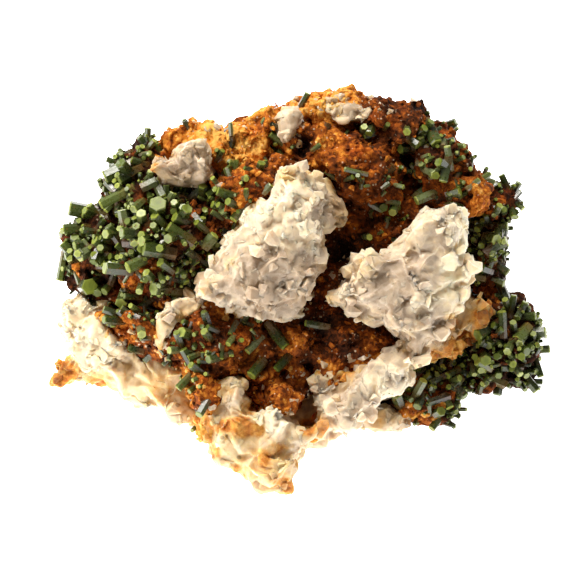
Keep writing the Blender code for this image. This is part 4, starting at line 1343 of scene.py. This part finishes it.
class SpecimenLook(bpy.types.PropertyGroup):
    """Colours of the minerals, and the light on them."""
    # The darker quartz colours also serve as painted shade, and the brightest as painted highlight, where the
    # clearness spots reach them
    quartz_bright: colour_property("Bright quartz", "Quartz where it is milkiest", (0.94, 0.825, 0.60))
    quartz_body: colour_property("Quartz", "Most of the quartz", (0.79, 0.655, 0.46))
    quartz_shade: colour_property("Clear quartz", "Quartz where it is clearest", (0.61, 0.485, 0.355))
    quartz_deep: colour_property("Deep quartz", "Clear quartz over something dark", (0.43, 0.32, 0.22))
    quartz_milkiness: FloatProperty(
        name="Milkiness", description="How much light passes under the quartz surface", default=0.95,
        min=0, max=1, subtype="FACTOR")
    crystal_dark: colour_property("Dark sides", "Darkest crystal sides", (0.008, 0.012, 0.002))
    crystal_side: colour_property("Crystal sides", "Most crystal sides", (0.026, 0.035, 0.006))
    crystal_pale: colour_property("Pale sides", "Palest crystal sides", (0.10, 0.125, 0.030))
    # Grey-green sides that stand for a sheen on the crystal faces: painted reflection
    crystal_grey_sheen: colour_property("Grey sides", "Grey-green crystal sides", (0.12, 0.135, 0.065))
    crystal_end: colour_property("Green ends", "Darker flat ends", (0.085, 0.12, 0.010))
    crystal_cap: colour_property("Lime ends", "Most flat ends", (0.235, 0.275, 0.028))
    crystal_yellow: colour_property("Yellow ends", "Palest flat ends", (0.37, 0.41, 0.075))
    key_power: FloatProperty(
        name="Top light", description="Power of the soft light over the specimen", default=3.2, min=0)
    sky: FloatProperty(
        name="Surroundings", description="Strength of the white surroundings", default=0.24, min=0)
    floor_glow: FloatProperty(
        name="Table glow", description="How much the white table glows", default=1.9, min=0)


def look():
    return bpy.context.scene.specimen_look


def shape():
    return bpy.context.scene.specimen_shape


def made_of(name, build):
    """A material by name, built the first time that it is asked for."""
    return bpy.data.materials.get(name) or build(look())


def dress_rock(name, shapes, others, tree, values, material, spots, pits, layer, coarser=1.0, clear=()):
    """One rough rock piece from its masses, with its stains and hollows."""
    meshes = rock_shapes(shapes)
    obj = fused(name, meshes, shape().voxel * coarser)
    mesh = obj.data
    points = wavered(blurred(mesh, coordinates(mesh), 2))
    pixels = seen_at(points)
    depth = spotted(pixels, pits) * MM
    points -= depth[:, None] * np.array(OUT)
    mesh.vertices.foreach_set("co", points.ravel())
    # In the crust a pit's depth lowers the tone, which darkens the hollow as painted shade; in the quartz it
    # only lessens the stain
    tint = tints_of(mesh, shapes, meshes) + spotted(pixels, spots) - depth / MM * 0.25
    if others:
        near = surface_of(rock_shapes(others))
        away = np.array([near.find_nearest(v.co)[3] for v in mesh.vertices])
        tint = tint + SEAM_RUST * np.exp(-away / SEAM_WIDTH)
    give(mesh, layer, tint)
    # The clearness also carries the painted shade and painted highlights of its spots
    if clear:
        give(mesh, "clear", spotted(pixels, clear))
    grow(obj, tree, dict(values, Material=material))
    cut_at_table(obj.data)
    return obj


class SPECIMEN_OT_quartz(bpy.types.Operator):
    """Builds the white quartz that the other minerals grew on"""
    bl_idname = "specimen.quartz"
    bl_label = "Quartz"

    def execute(self, context):
        material, tree = made_of("sugary quartz", quartz_material), broken_quartz_tree()
        for name, shapes, coarser in (("quartz", QUARTZ, 1.0), ("quartz_back", QUARTZ_BACK, 1.5)):
            obj = dress_rock(
                name, shapes, LIMONITE + LEFT_DRUSE, tree, {"Grain size": shape().grain}, material,
                QUARTZ_STAINS, QUARTZ_PITS, "stain", coarser, QUARTZ_CLEAR_SHADE_AND_HIGHLIGHT)
            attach(obj, "root")
            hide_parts("quartz_matrix")
        return {"FINISHED"}


class SPECIMEN_OT_crust(bpy.types.Operator):
    """Builds the brown limonite crust"""
    bl_idname = "specimen.crust"
    bl_label = "Limonite crust"

    def execute(self, context):
        material = made_of("earthy limonite", limonite_material)
        tree = tree_of("earthy limonite", earthy_limonite_tree)
        for name, shapes, coarser in (("limonite", LIMONITE, 1.0), ("limonite_back", LIMONITE_BACK, 1.5)):
            obj = dress_rock(
                name, shapes, [], tree, {"Lump size": shape().lump}, material, CRUST_TONES_AND_SHADE, CRUST_PITS,
                "tint", coarser)
            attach(obj, "root")
            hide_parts("limonite_crust")
        return {"FINISHED"}


DRUSES = {
    "left": (LEFT_DRUSE, LEFT_CRYSTALS),
    "column": (COLUMN_DRUSE, COLUMN_CRYSTALS),
    "lobe": (LOBE_DRUSE, LOBE_CRYSTALS),
    "terrace": (TERRACE_DRUSE, TERRACE_CRYSTALS),
}


class SPECIMEN_OT_grounds(bpy.types.Operator):
    """Builds the brown ground that each druse of crystals stands on"""
    bl_idname = "specimen.grounds"
    bl_label = "Druse grounds"

    def execute(self, context):
        material = made_of("earthy limonite", limonite_material)
        tree = tree_of("earthy limonite", earthy_limonite_tree)
        for name, (masses, _) in DRUSES.items():
            obj = dress_rock(
                f"ground_{name}", masses, [], tree, {"Lump size": shape().lump * 0.7}, material,
                GROUND_TONES, [], "tint")
            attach(obj, "root")
            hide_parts(f"pyromorphite_{name}")
        return {"FINISHED"}


class SPECIMEN_OT_grains(bpy.types.Operator):
    """Covers the quartz with broken grains, and sets some in the crust"""
    bl_idname = "specimen.grains"
    bl_label = "Quartz grains"

    def execute(self, context):
        draw = random.Random(shape().seed + 1)
        material = made_of("sugary quartz", quartz_material)
        patterns = grain_patterns()
        tree = tree_of("patterns on points", crystal_tree)
        quartz, crust = piece("quartz"), piece("limonite")
        covers = ("limonite", "limonite_back", "quartz_back", "ground_left")
        grounds = [surface_of([piece(n).data]) for n in covers]

        rock = whole_rock()

        def everywhere(_):
            return 1.0

        def in_fields(root):
            front = (root - VIEW_MIDDLE).dot(OUT) > -6 * MM
            return front * density_at(root, QUARTZ_FIELDS)

        def rough_quartz(root):
            return 0.0 if over_edge(rock, root) else 1.0 - spot_at(root, QUARTZ_FLAT)

        def in_bare_places(root):
            return 1.3 * spot_at(root, BARE) - 0.2

        front = []
        for grains in QUARTZ_GRAINS:
            front += grains_in(
                quartz, "stain", [grain for grain, _, _ in front], grains, rough_quartz, grounds, draw)
        rear = grains_in(
            piece("quartz_back"), "stain", [], QUARTZ_BACK_GRAINS, everywhere,
            grounds[:2] + [surface_of([quartz.data])], draw)
        bits = grains_in(crust, None, [], QUARTZ_IN_CRUST, in_fields, [], draw)
        earth = grains_in(crust, "tint", [], CRUST_CRUMBS, everywhere, grounds[2:], draw)
        for name in DRUSES:
            ground = piece(f"ground_{name}")
            lumps = grains_in(ground, "tint", [], GROUND_LUMPS, in_bare_places, [], draw)
            earth += [(grain, max(tone, 0.30) + 0.10, clear) for grain, tone, clear in lumps]
        brown = made_of("earthy limonite", limonite_material)
        for name, made, mineral, kind, layer in (
                ("quartz_grains", front + rear, "quartz", material, "stain"),
                ("quartz_grains_in_crust", bits, "quartz", material, "stain"),
                ("crust_grains", earth, "limonite", brown, "tint")):
            grains, stains, clear = zip(*made)
            if mineral == "limonite":
                stains = [s + 0.30 * (g.tone - 0.4) for s, g in zip(stains, grains)]
            # Each grain keeps the clearness under it, with its painted shade and painted highlights
            obj = standing(name, grains, patterns, tree, kind, {
                "grain": [g.tone for g in grains], layer: stains, "clear": clear,
                "relief": [0.3 + 0.5 * g.tone for g in grains]})
            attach(obj, "root")
        drop_patterns(patterns)
        return {"FINISHED"}


class SPECIMEN_OT_crystals(bpy.types.Operator):
    """Sets the green crystals on their grounds and strews small ones over the crust"""
    bl_idname = "specimen.crystals"
    bl_label = "Crystals"

    def execute(self, context):
        draw = random.Random(shape().seed)
        material = made_of("green pyromorphite", pyromorphite_material)
        patterns = crystal_patterns()
        tree = tree_of("patterns on points", crystal_tree)
        rock = whole_rock()
        rocks = [surface_of([piece(n).data]) for n in ("quartz", "quartz_back", "limonite")]
        width = shape().crystal_width
        for name, (masses, crystals) in DRUSES.items():
            ground = piece(f"ground_{name}")
            centres = [at(*np.mean(m.outline, axis=0).tolist(), m.out - m.back * 0.3) for m in masses]
            settled = placed_crystals(crystals, rock, draw)
            for share, tries in DRUSE_SIZES:
                settled += grown_crystals(
                    ground, centres, rocks, rock, settled, area_of(ground) * tries, width * share, grouped,
                    draw)
            obj = standing(f"crystals_{name}", settled, patterns, tree, material,
                           {"tone": [c.tone for c in settled]})
            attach(obj, "root")
        self.strew(draw, rock, rocks[:2], patterns, tree, material)
        drop_patterns(patterns)
        return {"FINISHED"}

    def strew(self, draw, rock, avoid, patterns, tree, material):
        """The crystals that stand alone on the brown crust."""
        crust = piece("limonite")
        settled = placed_crystals(SCATTERED_CRYSTALS, rock, draw)
        centres = [VIEW_MIDDLE - OUT * 6 * MM]
        settled += grown_crystals(
            crust, centres, avoid, rock, settled, area_of(crust) * STREWN_PER_AREA, STREWN_WIDTH,
            lambda root: density_at(root, FIELDS), draw)
        obj = standing("crystals_scattered", settled, patterns, tree, material,
                       {"tone": [c.tone for c in settled]})
        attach(obj, "root")


# Each light: name, place, width, share of the power of the top light, and colour
LIGHTS = [
    ("top light", (-0.10, 0.16, 0.42), 0.22, 1.0, (1.0, 0.97, 0.92)),
    ("left light", (-0.42, -0.18, 0.12), 0.26, 0.45, (1.0, 0.98, 0.94)),
]
LIT_PLACE = (0, 0, 0.012)


class SPECIMEN_OT_stage(bpy.types.Operator):
    """Lays the white table, lights it and places the camera"""
    bl_idname = "specimen.stage"
    bl_label = "Stage"

    def execute(self, context):
        scene = context.scene
        mesh = bpy.data.meshes.new("table")
        corners = [(x * TABLE_HALF, y * TABLE_HALF, 0) for x, y in ((-1, -1), (1, -1), (1, 1), (-1, 1))]
        mesh.from_pydata(corners, [], [(0, 1, 2, 3)])
        mesh.materials.append(floor_material(look()))
        table = new_object("table", mesh)
        table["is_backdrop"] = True

        for name, place, size, share, tone in LIGHTS:
            self.area_light(name, place, size, look().key_power * share, tone)
        self.surroundings(scene)

        camera = new_object("camera", bpy.data.cameras.new("camera"))
        camera.data.sensor_width = SENSOR
        camera.data.lens = SENSOR * VIEW_DISTANCE / (PICTURE_PIXELS * PIXEL)
        camera.data.clip_start = 0.01
        camera.data.clip_end = 20
        basis = Matrix((RIGHT, UP, OUT)).transposed().to_4x4()
        camera.matrix_world = Matrix.Translation(EYE) @ basis
        scene.camera = camera
        scene.view_settings.view_transform = "Standard"
        return {"FINISHED"}

    def area_light(self, name, place, size, power, tone):
        """A soft square light that faces the specimen."""
        data = bpy.data.lights.new(name, "AREA")
        data.size = size
        data.energy = power
        data.color = tone
        light = new_object(name, data)
        light.location = place
        light.rotation_mode = "QUATERNION"
        light.rotation_quaternion = (Vector(LIT_PLACE) - Vector(place)).to_track_quat("-Z", "Y")

    def surroundings(self, scene):
        """White all round, dimmer on the viewer's side."""
        world = bpy.data.worlds.new("surroundings")
        scene.world = world
        world.use_nodes = True
        tree = world.node_tree
        sky = tree.nodes["Background"]
        towards = put(tree, "ShaderNodeTexCoord").outputs["Generated"]
        facing = vector(tree, "DOT_PRODUCT", towards, tuple(OUT))
        dim = above(tree, facing, 0.2, 1.4)
        left = calc(tree, "SUBTRACT", 1.0, calc(tree, "MULTIPLY", dim, 0.75))
        fill(tree, sky, {"Strength": calc(tree, "MULTIPLY", left, look().sky), "Color": (1, 1, 1, 1)})


STEPS = [
    SPECIMEN_OT_quartz, SPECIMEN_OT_crust, SPECIMEN_OT_grounds, SPECIMEN_OT_grains, SPECIMEN_OT_crystals,
    SPECIMEN_OT_stage]


class SPECIMEN_PT_panel(bpy.types.Panel):
    """Lists the specimen's sizes, colours and steps"""
    bl_idname = "SPECIMEN_PT_panel"
    bl_label = "Pyromorphite specimen"
    bl_space_type = "VIEW_3D"
    bl_region_type = "UI"
    bl_category = "Specimen"

    def draw(self, context):
        for settings in (context.scene.specimen_shape, context.scene.specimen_look):
            column = self.layout.column()
            for name in settings.__annotations__:
                column.prop(settings, name)
        for step in STEPS:
            self.layout.operator(step.bl_idname)


CLASSES = [SpecimenShape, SpecimenLook, *STEPS, SPECIMEN_PT_panel]


def register():
    for entry in CLASSES:
        bpy.utils.register_class(entry)
    bpy.types.Scene.specimen_shape = PointerProperty(type=SpecimenShape)
    bpy.types.Scene.specimen_look = PointerProperty(type=SpecimenLook)


def unregister():
    del bpy.types.Scene.specimen_look
    del bpy.types.Scene.specimen_shape
    for entry in reversed(CLASSES):
        bpy.utils.unregister_class(entry)


def main():
    register()
    bpy.ops.specimen.quartz()
    bpy.ops.specimen.crust()
    bpy.ops.specimen.grounds()
    bpy.ops.specimen.grains()
    bpy.ops.specimen.crystals()
    bpy.ops.specimen.stage()
    boxes = {"cad": CAD_BOX, "visual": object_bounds()}
    {name: [list(corner) for corner in box] for name, box in boxes.items()}


if __name__ == "__main__":
    main()
